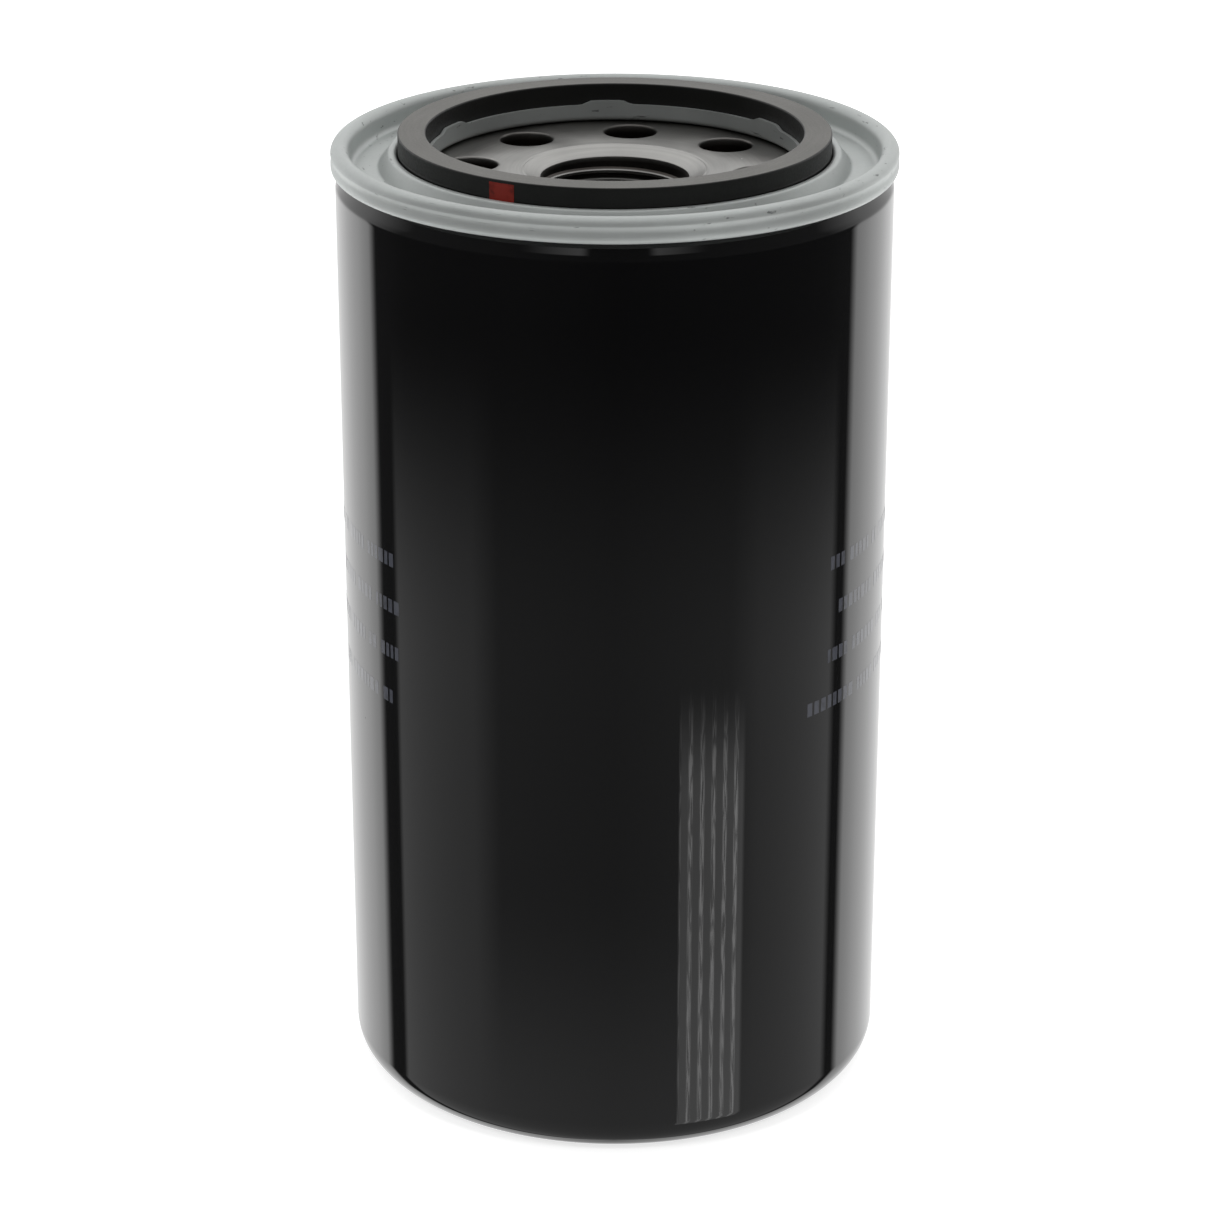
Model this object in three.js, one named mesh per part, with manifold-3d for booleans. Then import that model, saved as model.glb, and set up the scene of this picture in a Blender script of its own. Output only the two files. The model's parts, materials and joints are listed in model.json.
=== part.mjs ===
// Spin-on oil filter: a seamed steel can that holds a pleated element and its valves.
// Millimetres, +Z up. The filter stands on its closed end with the threaded end on top,
// and the origin is the middle of the surface that it stands on. Every turned piece is a
// LatheGeometry with the same facet count, so the facets of pieces that fit closely line up.

import * as THREE from 'three';
import { mergeVertices } from 'three/addons/utils/BufferGeometryUtils.js';
import Module from 'manifold-3d';

const wasm = await Module();
wasm.setup();

// ---------------------------------------------------------------- driving dimensions

const facets = 24;
const arcStep = Math.PI / 4;

// Can
const canRadius = 46.5;
const canSheet = 0.5;
const canCornerRadius = 5.5;
const canPanelInset = 18.5;
const canPanelDepth = 1;
const canPanelSlope = 1.6;
const neckLength = 4;

// Double seam, at the top of the can
const seamTop = 166.7;
const seamProud = 0.9;
const seamDepth = 4.3;
const seamPlay = 0.08;
const sealantHeight = 0.6;

// Seaming lid
const lidSheet = 0.6;
const lidDepth = 4.8;
const humpWidth = 0.88;
const humpRise = 3.05;
const humpSlope = 1.9;
const lipDrop = 1.8;
const lipTabRise = 0.7;
const lipTabCount = 6;
const lipTabHalfTurn = 6;
const lipTabTurn = -2.5;

// Sealing gasket
const gasketInset = 10.3;
const gasketWidth = 4.7;
const gasketHeight = 5.8;
const gasketPlay = 0.12;
const gasketEdge = 0.6;

// Tapping plate, with a 1 inch, 16 per inch thread in its hub
const plateThickness = 3;
const plateInset = 2.36;
const plateEdge = 0.5;
const inletCount = 8;
const inletRadius = 4.5;
const inletTurn = 6.5;
const inletOutwards = 1.43;
const threadRadius = 11.84;
const threadEntryWidth = 3.16;
const threadEntryDrop = 2.1;
const hubWall = 2.4;
const hubLength = 13.4;

// Anti-drain valve
const drainValveTravel = 1.5;
const flapLap = 5.2;
const flapThickness = 1.3;
const flapLipWidth = 3;
const sleeveWall = 3;
const sleeveOverlap = 2;

// Element: caps, paper, tube and adhesive
const elementTravel = 1.5;
const oilGap = 5.5;
const capSheet = 0.5;
const capRim = 5.5;
const neckRise = 3.5;
const elementSealHeight = 3.1;
const elementSealWidth = 5.4;
const tubeWall = 0.6;
const tubeHoleRadius = 2.6;
const tubeHoleRows = 5;
const tubeHolesRound = 6;
const tubeHoleMargin = 12;
const pleatCount = 40;
const paperThickness = 0.6;
const pleatTipHalfWidth = 0.75;
const pottingHeight = 2.4;
const pottingEdge = 0.8;
const clipDepth = 4;
const clipSheet = 0.35;

// Bypass valve
const bypassTravel = 4;
const seatRadius = 7.5;
const seatSheet = 1;
const nozzleHeight = 0.8;
const nozzleWidth = 0.8;
const valvePlateLap = 3.1;
const valvePlateThickness = 1;
const valvePlateRim = 0.8;
const valveSealThickness = 1.2;
const stemRadius = 1.8;
const stemHeadRadius = 4.5;
const stemHeadHeight = 1;
const stemAbove = 3.2;
const cagePlay = 1.4;
const cageSheet = 0.6;
const cageWindowCount = 4;
const cageWindowWidth = 12;
const cageWindowHeight = 12;
const bypassSpringInset = 4;
const bypassWireRadius = 0.6;
const bypassTurns = 6;
const bypassSpringSpare = 8.8;

// Support spring
const supportSpringInset = 5;
const supportWireRadius = 1.1;
const supportTurns = 3;
const supportSpringSpare = 4.2;

// Clearances: fit between pieces that slide or pass, touch between pieces that bear on each other
const fit = 0.3;
const touch = 0.1;

// ------------------------------------------------------------------ shape helpers

const group = new THREE.Group();

function finish(color, roughness, metalness) {
  return { color, roughness, metalness };
}

const finishes = {
  blackPaint: finish(0x0d0d0e, 0.12, 0),
  zincPlate: finish(0xa9adaa, 0.38, 1),
  plainSteel: finish(0x9a9a98, 0.35, 1),
  springSteel: finish(0x6e6f72, 0.3, 1),
  blackRubber: finish(0x161616, 0.6, 0),
  brownRubber: finish(0x3a1f18, 0.65, 0),
  paper: finish(0xd9bf7a, 0.9, 0),
  adhesive: finish(0x7d3a2c, 0.5, 0),
  sealant: finish(0x8a8f86, 0.6, 0),
};

function add(name, geometry, look) {
  const mesh = new THREE.Mesh(geometry, new THREE.MeshStandardMaterial(look));
  mesh.name = name;
  group.add(mesh);
  return mesh;
}

// Rounds the corners of a path of [radius, height, fillet] points in the half plane.
function filleted(corners) {
  const path = [];
  corners.forEach(([r, z, fillet = 0], index) => {
    const here = new THREE.Vector2(r, z);
    if (!fillet) {
      path.push(here);
      return;
    }
    const before = new THREE.Vector2(...corners[index - 1]).sub(here).normalize();
    const after = new THREE.Vector2(...corners[index + 1]).sub(here).normalize();
    const half = Math.acos(before.dot(after)) / 2;
    const middle = before.clone().add(after).normalize();
    const centre = here.clone().addScaledVector(middle, fillet / Math.sin(half));
    const sweep = Math.PI - 2 * half;
    const side = Math.sign(after.cross(before));
    const first = here.clone().addScaledVector(before, fillet / Math.tan(half)).sub(centre);
    const steps = Math.max(1, Math.round(sweep / arcStep));
    for (let step = 0; step <= steps; step += 1) {
      const turned = first.clone().rotateAround(new THREE.Vector2(), side * sweep * step / steps);
      path.push(turned.add(centre));
    }
  });
  return path;
}

// Moves a path sideways, with mitred corners; a closed path joins its last point to its first.
function offset(path, distance, closed = false) {
  const count = path.length;
  return path.map((point, index) => {
    const previous = closed || index > 0 ? path[(index + count - 1) % count] : null;
    const next = closed || index < count - 1 ? path[(index + 1) % count] : null;
    const into = (previous ? point.clone().sub(previous) : next.clone().sub(point)).normalize();
    const out = (next ? next.clone().sub(point) : point.clone().sub(previous)).normalize();
    const normal = new THREE.Vector2(into.y + out.y, -into.x - out.x).normalize();
    const stretch = normal.dot(new THREE.Vector2(into.y, -into.x));
    return point.clone().addScaledVector(normal, distance / stretch);
  });
}

// Turns a closed outline of [radius, height] points about the Z axis.
function turned(outline) {
  const points = outline.map((point) => new THREE.Vector2(Math.max(0, point.x), point.y));
  if (THREE.ShapeUtils.area(points) < 0) points.reverse();
  const start = points.findIndex((point, index) => (
    point.x === 0 && points[(index + points.length - 1) % points.length].x === 0
  ));
  const onAxis = start >= 0;
  const loop = onAxis
    ? [...points.slice(start), ...points.slice(0, start)]
    : [...points, points[0].clone()];
  return new THREE.LatheGeometry(loop, facets).rotateX(Math.PI / 2);
}

function ring(corners) {
  return turned(filleted(corners));
}

// A turned piece of sheet: its middle line, rounded, with half the sheet on each side.
function pressed(corners, sheet) {
  const line = filleted(corners);
  return turned([...offset(line, sheet / 2), ...offset(line, -sheet / 2).reverse()]);
}

function solid(geometry) {
  const bare = geometry.clone();
  bare.deleteAttribute('normal');
  bare.deleteAttribute('uv');
  const merged = mergeVertices(bare, 1e-4);
  const index = merged.index.array;
  const corners = [];
  for (let i = 0; i < index.length; i += 3) {
    const [a, b, c] = [index[i], index[i + 1], index[i + 2]];
    if (a !== b && b !== c && c !== a) corners.push(a, b, c);
  }
  return new wasm.Manifold(new wasm.Mesh({
    numProp: 3,
    vertProperties: new Float32Array(merged.attributes.position.array),
    triVerts: new Uint32Array(corners),
  }));
}

function geometryOf(body) {
  const mesh = body.getMesh();
  const geometry = new THREE.BufferGeometry();
  geometry.setAttribute('position', new THREE.BufferAttribute(mesh.vertProperties, 3));
  geometry.setIndex(new THREE.BufferAttribute(mesh.triVerts, 1));
  geometry.computeVertexNormals();
  return geometry;
}

function cut(geometry, cutters) {
  let body = solid(geometry);
  cutters.forEach((cutter) => {
    body = body.subtract(solid(cutter));
  });
  return geometryOf(body);
}

function aroundZ(count, make, turn = 0) {
  return Array.from({ length: count }, (_, index) => (
    make().rotateZ(THREE.MathUtils.degToRad(-turn) + index * 2 * Math.PI / count)
  ));
}

// A compression spring's wire, with one close-wound turn at each end.
class CoilCurve extends THREE.Curve {
  constructor({ radius, bottom, top, turns, wire }) {
    super();
    Object.assign(this, { radius, bottom: bottom + wire, top: top - wire, turns, wire });
  }

  getPoint(t, target = new THREE.Vector3()) {
    const turn = t * this.turns;
    const endRise = 2.1 * this.wire;
    const workingRise = this.top - this.bottom - 2 * endRise;
    const below = Math.min(turn, 1);
    const above = Math.max(turn - this.turns + 1, 0);
    const working = (turn - below - above) / (this.turns - 2);
    const height = this.bottom + endRise * (below + above) + workingRise * working;
    const angle = 2 * Math.PI * turn;
    return target.set(this.radius * Math.cos(angle), this.radius * Math.sin(angle), height);
  }
}

function coil(spring) {
  const corners = Array.from({ length: 6 }, (_, side) => (
    new THREE.Vector2(spring.wire, 0).rotateAround(new THREE.Vector2(), side * Math.PI / 3)
  ));
  return new THREE.ExtrudeGeometry(new THREE.Shape(corners), {
    steps: 12 * spring.turns,
    extrudePath: new CoilCurve(spring),
  });
}

// ------------------------------------------------------------------ can and double seam

// The seam has five layers, counted inwards: lid skirt, can hook, lid hook, can wall, chuck wall.
const layerStep = (canSheet + lidSheet) / 2 + seamPlay;
const skirtLine = canRadius + seamProud - lidSheet / 2;
const canHookLine = skirtLine - layerStep;
const lidHookLine = canHookLine - layerStep;
const canNeckLine = lidHookLine - layerStep;
const chuckLine = canNeckLine - layerStep;

// Each fold is a half circle between two layers, less a hair so that its ends don't meet.
const hair = 0.005;
const canFold = layerStep - hair;
const lidHookFold = layerStep - hair;
const lidCrestFold = 2 * layerStep - hair;

const seamBottom = seamTop - seamDepth;
const lidCrestLine = seamTop - lidSheet / 2;
const canFoldLine = lidCrestLine - layerStep;
const canHookEnd = seamBottom + lidSheet + seamPlay + 0.4;
const sealantTop = canFoldLine - canSheet / 2 - 0.25;
const lidHookEnd = sealantTop - sealantHeight - touch;

const canLine = canRadius - canSheet / 2;
const canBottomLine = canSheet / 2;
const canPanelRadius = canRadius - canPanelInset;
add('can', pressed([
  [0, canBottomLine + canPanelDepth],
  [canPanelRadius, canBottomLine + canPanelDepth],
  [canPanelRadius + canPanelSlope, canBottomLine],
  [canLine, canBottomLine, canCornerRadius - canSheet / 2],
  [canLine, seamBottom - neckLength, 2],
  [canNeckLine, seamBottom - 0.4, 2],
  [canNeckLine, canFoldLine, canFold],
  [canHookLine, canFoldLine, canFold],
  [canHookLine, canHookEnd],
], canSheet), finishes.blackPaint);

const sealantHalf = lidSheet / 2 - 0.04;
add('seam_sealant', ring([
  [lidHookLine - sealantHalf, sealantTop - sealantHeight],
  [lidHookLine + sealantHalf, sealantTop - sealantHeight],
  [lidHookLine + sealantHalf, sealantTop],
  [lidHookLine - sealantHalf, sealantTop],
]), finishes.sealant);

// ------------------------------------------------------------------ seaming lid and gasket

const plateTop = seamTop - lidDepth;
const gasketOuter = canRadius - gasketInset;
const gasketInner = gasketOuter - gasketWidth;
const lidFloorLine = plateTop + seamPlay + lidSheet / 2;
const lidFloorTop = lidFloorLine + lidSheet / 2;
const lipLine = gasketInner - gasketPlay - lidSheet / 2;
const channelLine = gasketOuter + gasketPlay + lidSheet / 2;
const humpLine = lidFloorTop + humpRise - lidSheet / 2;
const lipTabTop = seamTop - lipDrop + lipTabRise;
const humpFillet = 0.4;
const slopeFillet = 1;
const chuckFillet = 1.3;

const lidBlank = pressed([
  [lipLine, lipTabTop],
  [lipLine, lidFloorLine, gasketEdge],
  [channelLine, lidFloorLine, gasketEdge],
  [channelLine, humpLine, humpFillet],
  [channelLine + humpWidth, humpLine, humpFillet],
  [channelLine + humpWidth + humpSlope, lidFloorLine, slopeFillet],
  [chuckLine, lidFloorLine, chuckFillet],
  [chuckLine, lidCrestLine, lidCrestFold],
  [skirtLine, lidCrestLine, lidCrestFold],
  [skirtLine, seamBottom + lidSheet / 2, lidHookFold],
  [lidHookLine, seamBottom + lidSheet / 2, lidHookFold],
  [lidHookLine, lidHookEnd],
], lidSheet);

// The lip stands lower between its tabs: a block on each stretch between two tabs cuts it down.
function lipCutter() {
  const half = Math.PI / lipTabCount - THREE.MathUtils.degToRad(lipTabHalfTurn);
  const near = lipLine - lidSheet;
  const far = lipLine + 3 * lidSheet;
  const outline = [
    [near, -half],
    [far, -half],
    [far, 0],
    [far, half],
    [near, half],
    [near * Math.cos(half), 0],
  ];
  const block = new THREE.Shape(outline.map(([r, turn]) => (
    new THREE.Vector2(-r * Math.sin(turn), r * Math.cos(turn))
  )));
  return new THREE.ExtrudeGeometry(block, { depth: lipTabRise + 1, bevelEnabled: false })
    .translate(0, 0, lipTabTop - lipTabRise);
}
const lipCutters = aroundZ(lipTabCount, lipCutter, lipTabTurn + 180 / lipTabCount);
add('seaming_lid', cut(lidBlank, lipCutters), finishes.zincPlate);

const gasketBottom = lidFloorTop + gasketPlay;
const gasketTop = gasketBottom + gasketHeight;
const gasketTopEdge = gasketEdge / 2;
add('sealing_gasket', ring([
  [gasketInner + gasketEdge, gasketBottom],
  [gasketOuter - gasketEdge, gasketBottom],
  [gasketOuter, gasketBottom + gasketEdge],
  [gasketOuter, gasketTop - gasketTopEdge],
  [gasketOuter - gasketTopEdge, gasketTop],
  [gasketInner + gasketTopEdge, gasketTop],
  [gasketInner, gasketTop - gasketTopEdge],
  [gasketInner, gasketBottom + gasketEdge],
]), finishes.blackRubber);

// ------------------------------------------------------------------ tapping plate

const plateBottom = plateTop - plateThickness;
const plateRadius = canNeckLine - canSheet / 2 - plateInset;
const hubRadius = threadRadius + hubWall;
const hubBottom = plateTop - hubLength;
const hubFillet = 1.2;
const plateBlank = ring([
  [threadRadius, hubBottom],
  [hubRadius, hubBottom],
  [hubRadius, plateBottom, hubFillet],
  [plateRadius - plateEdge, plateBottom],
  [plateRadius, plateBottom + plateEdge],
  [plateRadius, plateTop - plateEdge],
  [plateRadius - plateEdge, plateTop],
  [threadRadius + threadEntryWidth, plateTop],
  [threadRadius, plateTop - threadEntryDrop],
]);
const inletCircle = (hubRadius + gasketInner) / 2 + inletOutwards;
const inlets = aroundZ(inletCount, () => (
  new THREE.CylinderGeometry(inletRadius, inletRadius, plateThickness + 2, 12)
    .rotateX(Math.PI / 2)
    .translate(0, inletCircle, plateTop - plateThickness / 2)
), inletTurn);
add('tapping_plate', cut(plateBlank, inlets), finishes.plainSteel);

// ------------------------------------------------------------------ anti-drain valve and element caps

// The valve's sleeve slides between the hub and the top cap's neck, and its lip closes the
// inlet holes from below. Under the hub, the neck's ledge carries the element seal.
const sleeveInner = hubRadius + fit;
const sleeveOuter = sleeveInner + sleeveWall;
const neckRadius = sleeveOuter + fit;
const capTop = hubBottom + neckRise;
const lipTop = plateBottom - touch;
const lipOuter = inletCircle + inletRadius + flapLap;
const flapLow = capTop + drainValveTravel + 0.5;
add('anti_drain_valve', ring([
  [sleeveInner, capTop - sleeveOverlap],
  [sleeveOuter, capTop - sleeveOverlap],
  [sleeveOuter, flapLow],
  [lipOuter - flapLipWidth, lipTop - flapThickness],
  [lipOuter, lipTop - flapThickness],
  [lipOuter, lipTop],
  [lipOuter - flapLipWidth, lipTop],
  [sleeveOuter, flapLow + flapThickness],
  [sleeveInner, flapLow + 1.5 * flapThickness],
]), finishes.brownRubber);

const sealTop = hubBottom - touch;
const sealBottom = sealTop - elementSealHeight;
const sealOuter = neckRadius - fit;
const sealInner = sealOuter - elementSealWidth;
add('element_seal', ring([
  [sealInner, sealBottom],
  [sealOuter, sealBottom],
  [sealOuter, sealTop],
  [sealInner, sealTop],
]), finishes.blackRubber);

const ledgeLine = sealBottom - touch - capSheet / 2;
const capLine = capTop - capSheet / 2;
const capRimLine = canRadius - canSheet - oilGap - capSheet / 2;
const capFillet = 0.8;
const ledgeFillet = 0.6;
add('top_end_cap', pressed([
  [sealInner, ledgeLine],
  [neckRadius + capSheet / 2, ledgeLine, ledgeFillet],
  [neckRadius + capSheet / 2, capLine, capFillet],
  [capRimLine, capLine, capFillet],
  [capRimLine, capTop - capRim],
], capSheet), finishes.zincPlate);

const supportBottom = canSheet + canPanelDepth + touch;
const supportLength = 2 * supportWireRadius * supportTurns + elementTravel + supportSpringSpare;
const supportTop = supportBottom + supportLength;
const bottomCapLine = supportTop + touch + capSheet / 2;
const bottomCapTop = bottomCapLine + capSheet / 2;
const valvePlateRadius = seatRadius + valvePlateLap;
const cageRadius = valvePlateRadius + cagePlay + cageSheet;
const bottomCapHole = cageRadius + 3 * fit;
add('bottom_end_cap', pressed([
  [bottomCapHole, bottomCapLine],
  [capRimLine, bottomCapLine, capFillet],
  [capRimLine, bottomCapTop + capRim],
], capSheet), finishes.zincPlate);

// ------------------------------------------------------------------ element

const pottingInner = neckRadius + capSheet + fit;
const pottingOuter = capRimLine - capSheet / 2 - fit;
function potting(name, face, inward) {
  add(name, ring([
    [pottingInner, face + inward * pottingEdge],
    [pottingInner + pottingEdge, face],
    [pottingOuter - pottingEdge, face],
    [pottingOuter, face + inward * pottingEdge],
    [pottingOuter, face + inward * pottingHeight],
    [pottingInner, face + inward * pottingHeight],
  ]), finishes.adhesive);
}
const topPottingFace = capTop - capSheet - touch;
const bottomPottingFace = bottomCapTop + touch;
potting('top_potting', topPottingFace, -1);
potting('bottom_potting', bottomPottingFace, 1);

const tubeInner = neckRadius - tubeWall;
const tubeBottom = bottomCapTop + touch;
const tubeTop = ledgeLine - capSheet / 2 - touch;
const tubeBlank = ring([
  [tubeInner, tubeBottom],
  [neckRadius, tubeBottom],
  [neckRadius, tubeTop],
  [tubeInner, tubeTop],
]);
const tubeHoles = [];
const tubeHolePitch = (tubeTop - tubeBottom - 2 * tubeHoleMargin) / (tubeHoleRows - 1);
for (let row = 0; row < tubeHoleRows; row += 1) {
  const height = tubeBottom + tubeHoleMargin + row * tubeHolePitch;
  const stagger = (row % 2) * 180 / tubeHolesRound;
  tubeHoles.push(...aroundZ(tubeHolesRound, () => (
    new THREE.CylinderGeometry(tubeHoleRadius, tubeHoleRadius, 10 * tubeWall, 6)
      .translate(0, neckRadius, height)
  ), stagger));
}
add('centre_tube', cut(tubeBlank, tubeHoles), finishes.zincPlate);

// The paper is one closed band. Its seam is the pleat on +Y, which is shorter and wears the clip.
const paperBottom = bottomPottingFace + pottingHeight + touch;
const paperTop = topPottingFace - pottingHeight - touch;
const pleatOuter = pottingOuter - 0.4;
const pleatInner = pottingInner + fit;
const clipReach = clipSheet + fit;
const pleatLine = [];
for (let pleat = 0; pleat < pleatCount; pleat += 1) {
  const middle = pleat * 2 * Math.PI / pleatCount;
  const tip = pleatOuter - paperThickness / 2 - (pleat === 0 ? clipReach : 0);
  const valley = pleatInner + paperThickness / 2;
  const tipTurn = pleatTipHalfWidth / tip;
  const valleyTurn = Math.PI / pleatCount - pleatTipHalfWidth / valley;
  [[valley, -valleyTurn], [tip, -tipTurn], [tip, tipTurn], [valley, valleyTurn]].forEach(([r, turn]) => {
    pleatLine.push(new THREE.Vector2(-r * Math.sin(middle + turn), r * Math.cos(middle + turn)));
  });
}
const paperShape = new THREE.Shape(offset(pleatLine, paperThickness / 2, true));
paperShape.holes.push(new THREE.Path(offset(pleatLine, -paperThickness / 2, true)));
const paperLength = paperTop - paperBottom;
add('pleated_media', new THREE.ExtrudeGeometry(paperShape, { depth: paperLength, bevelEnabled: false })
  .translate(0, 0, paperBottom), finishes.paper);

const clipTip = pleatOuter - clipSheet / 2;
const clipHalf = pleatTipHalfWidth + paperThickness / 2 + 2 * fit;
const clipLine = [
  new THREE.Vector2(-clipHalf, clipTip - clipDepth),
  new THREE.Vector2(-clipHalf, clipTip),
  new THREE.Vector2(clipHalf, clipTip),
  new THREE.Vector2(clipHalf, clipTip - clipDepth),
];
const clipOutline = [...offset(clipLine, clipSheet / 2), ...offset(clipLine, -clipSheet / 2).reverse()];
const clipInset = 1;
add('media_seam_clip', new THREE.ExtrudeGeometry(new THREE.Shape(clipOutline), {
  depth: paperLength - 2 * clipInset,
  bevelEnabled: false,
}).translate(0, 0, paperBottom + clipInset), finishes.zincPlate);

// ------------------------------------------------------------------ bypass valve

const seatOuter = tubeInner - 2 * fit;
const seatBottom = bottomCapTop + touch;
const seatTop = seatBottom + seatSheet;
const nozzleTop = seatTop + nozzleHeight;
add('bypass_valve_seat', ring([
  [seatRadius, seatBottom],
  [seatOuter, seatBottom],
  [seatOuter, seatTop],
  [seatRadius + 2 * nozzleWidth, seatTop],
  [seatRadius + nozzleWidth, nozzleTop],
  [seatRadius, nozzleTop],
]), finishes.zincPlate);

const pinHole = stemRadius + fit;
const valveSealBottom = nozzleTop + touch;
const valveSealTop = valveSealBottom + valveSealThickness;
const valveSealRadius = valvePlateRadius - 0.4;
add('bypass_valve_seal', ring([
  [pinHole, valveSealBottom],
  [valveSealRadius, valveSealBottom],
  [valveSealRadius, valveSealTop],
  [pinHole, valveSealTop],
]), finishes.blackRubber);

const valvePlateBottom = valveSealTop + touch;
const valvePlateTop = valvePlateBottom + valvePlateThickness;
const valvePlateDish = valvePlateRadius - valvePlateRim;
add('bypass_valve_plate', ring([
  [pinHole, valvePlateBottom],
  [valvePlateRadius, valvePlateBottom],
  [valvePlateRadius, valvePlateTop + valvePlateRim],
  [valvePlateDish, valvePlateTop + valvePlateRim],
  [valvePlateDish, valvePlateTop],
  [pinHole, valvePlateTop],
]), finishes.plainSteel);

const bypassSpringBottom = valvePlateTop + touch;
const bypassSpringLength = 2 * bypassWireRadius * bypassTurns + bypassTravel + bypassSpringSpare;
const bypassSpringTop = bypassSpringBottom + bypassSpringLength;
const bypassSpringRadius = valvePlateRadius - bypassSpringInset;
add('bypass_valve_spring', coil({
  radius: bypassSpringRadius,
  bottom: bypassSpringBottom,
  top: bypassSpringTop,
  turns: bypassTurns,
  wire: bypassWireRadius,
}), finishes.springSteel);

const cageBottom = seatTop + touch;
const cageTop = bypassSpringTop + touch + cageSheet;
const cageLine = cageRadius - cageSheet / 2;
const cageBlank = pressed([
  [pinHole, cageTop - cageSheet / 2],
  [cageLine, cageTop - cageSheet / 2, 1.2],
  [cageLine, cageBottom + cageSheet / 2, 0.6],
  [seatOuter, cageBottom + cageSheet / 2],
], cageSheet);
const windowMiddle = (cageBottom + cageTop) / 2 + 1;
const cageWindows = aroundZ(cageWindowCount, () => (
  new THREE.BoxGeometry(cageWindowWidth, 12 * cageSheet, cageWindowHeight)
    .translate(0, cageRadius, windowMiddle)
), 180 / cageWindowCount);
add('bypass_valve_cage', cut(cageBlank, cageWindows), finishes.zincPlate);

const headTop = valveSealBottom - touch;
const stemTop = cageTop + stemAbove;
const shoulderBottom = valvePlateTop + touch;
const shoulderHeight = 0.9;
const stemChamfer = 0.6;
add('bypass_valve_stem', ring([
  [0, headTop - stemHeadHeight],
  [stemHeadRadius, headTop - stemHeadHeight],
  [stemHeadRadius, headTop],
  [stemRadius, headTop],
  [stemRadius, shoulderBottom],
  [1.7 * stemRadius, shoulderBottom],
  [1.3 * stemRadius, shoulderBottom + shoulderHeight],
  [stemRadius, shoulderBottom + shoulderHeight],
  [stemRadius, stemTop - stemChamfer],
  [stemRadius - stemChamfer, stemTop],
  [0, stemTop],
]), finishes.plainSteel);

// ------------------------------------------------------------------ support spring

add('support_spring', coil({
  radius: canPanelRadius - supportSpringInset,
  bottom: supportBottom,
  top: supportTop,
  turns: supportTurns,
  wire: supportWireRadius,
}), finishes.springSteel);

export default group;
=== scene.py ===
"""Spin-on oil filter: a seamed can with its lid, gasket, threaded plate, valves, element and springs.

Every turned piece starts as a few corners in the XZ plane, which are rounded and spun about the Z axis.
Lengths are in metres, and the filter stands on its closed end at Z = 0.
"""
import json
from math import atan2, ceil, copysign, cos, hypot, pi, radians, sin, tan
from random import Random

import bmesh
import bpy
from bpy.props import FloatProperty, FloatVectorProperty, IntProperty, PointerProperty
from mathutils import Matrix, Vector, noise


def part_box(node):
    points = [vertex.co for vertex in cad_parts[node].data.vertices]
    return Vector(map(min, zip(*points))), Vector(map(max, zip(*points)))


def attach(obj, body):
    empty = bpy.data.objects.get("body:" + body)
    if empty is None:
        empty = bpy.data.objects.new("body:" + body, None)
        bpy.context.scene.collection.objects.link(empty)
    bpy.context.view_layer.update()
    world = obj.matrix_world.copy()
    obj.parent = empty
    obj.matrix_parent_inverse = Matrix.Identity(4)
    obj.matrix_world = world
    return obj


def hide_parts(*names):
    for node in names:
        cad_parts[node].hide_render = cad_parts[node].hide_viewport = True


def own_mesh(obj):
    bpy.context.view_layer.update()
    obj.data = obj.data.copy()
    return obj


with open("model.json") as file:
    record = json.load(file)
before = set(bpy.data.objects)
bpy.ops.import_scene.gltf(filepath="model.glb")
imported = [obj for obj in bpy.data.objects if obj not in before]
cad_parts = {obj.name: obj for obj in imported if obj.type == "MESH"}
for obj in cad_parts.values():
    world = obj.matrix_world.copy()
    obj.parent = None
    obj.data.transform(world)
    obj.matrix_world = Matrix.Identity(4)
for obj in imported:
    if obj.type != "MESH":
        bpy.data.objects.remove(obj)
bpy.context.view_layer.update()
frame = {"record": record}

bl_info = {
    "name": "Spin-on Oil Filter",
    "version": (1, 0, 0),
    "blender": (4, 5, 0),
    "location": "View3D > Sidebar > Oil Filter",
    "description": "Builds a spin-on oil filter round its fixed frame, piece by piece",
    "category": "Object",
}

MM = 0.001

BODY_OF = {node: body
           for body, nodes in frame["record"]["behaviour"]["bodies"].items() for node in nodes}
TRAVEL_OF = {joint["name"]: max(abs(end) for end in joint["range_m"])
             for joint in frame["record"]["behaviour"]["joints"]}


# ---------------------------------------------------------------- places taken from the frame

def reach(node):
    """The outer radius of a turned node."""
    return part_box(node)[1].x


def foot(node):
    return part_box(node)[0].z


def head(node):
    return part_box(node)[1].z


# ---------------------------------------------------------------- settings

def size(name, description, millimetres):
    return FloatProperty(name=name, description=description, default=millimetres * MM,
                         min=0, precision=5, unit="LENGTH")


def tint(name, description, colour):
    return FloatVectorProperty(name=name, description=description, default=colour,
                               size=3, min=0, max=1, subtype="COLOR")


def count(name, description, number):
    return IntProperty(name=name, description=description, default=number, min=1)


class CanSettings(bpy.types.PropertyGroup):
    sheet: size("Sheet", "Thickness of the can's steel", 0.5)
    corner: size("Corner", "Outer radius of the corner round the closed end", 5.5)
    panel_inset: size("Panel inset", "From the wall to the raised panel in the closed end", 18.5)
    panel_rise: size("Panel rise", "Height of the raised panel in the closed end", 1.0)
    panel_slope: size("Panel slope", "Width of the panel's sloping edge", 1.6)
    neck: size("Neck", "Height of the taper from the wall to the seam", 2.6)
    paint: tint("Paint", "Colour of the stoved paint", (0.0022, 0.0022, 0.0024))


class PrintSettings(bpy.types.PropertyGroup):
    ink_depth: size("Ink depth", "Thickness of the printed ink", 0.008)
    line_height: size("Line height", "Height of one printed line", 2.4)
    line_pitch: size("Line pitch", "Distance between the printed lines", 8.3)
    low_line: size("Low line", "Height of the lowest printed line", 76.5)
    line_count: count("Lines", "Printed lines in a block", 4)
    ink: tint("Ink", "Colour of the printed ink", (0.055, 0.058, 0.072))


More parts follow.
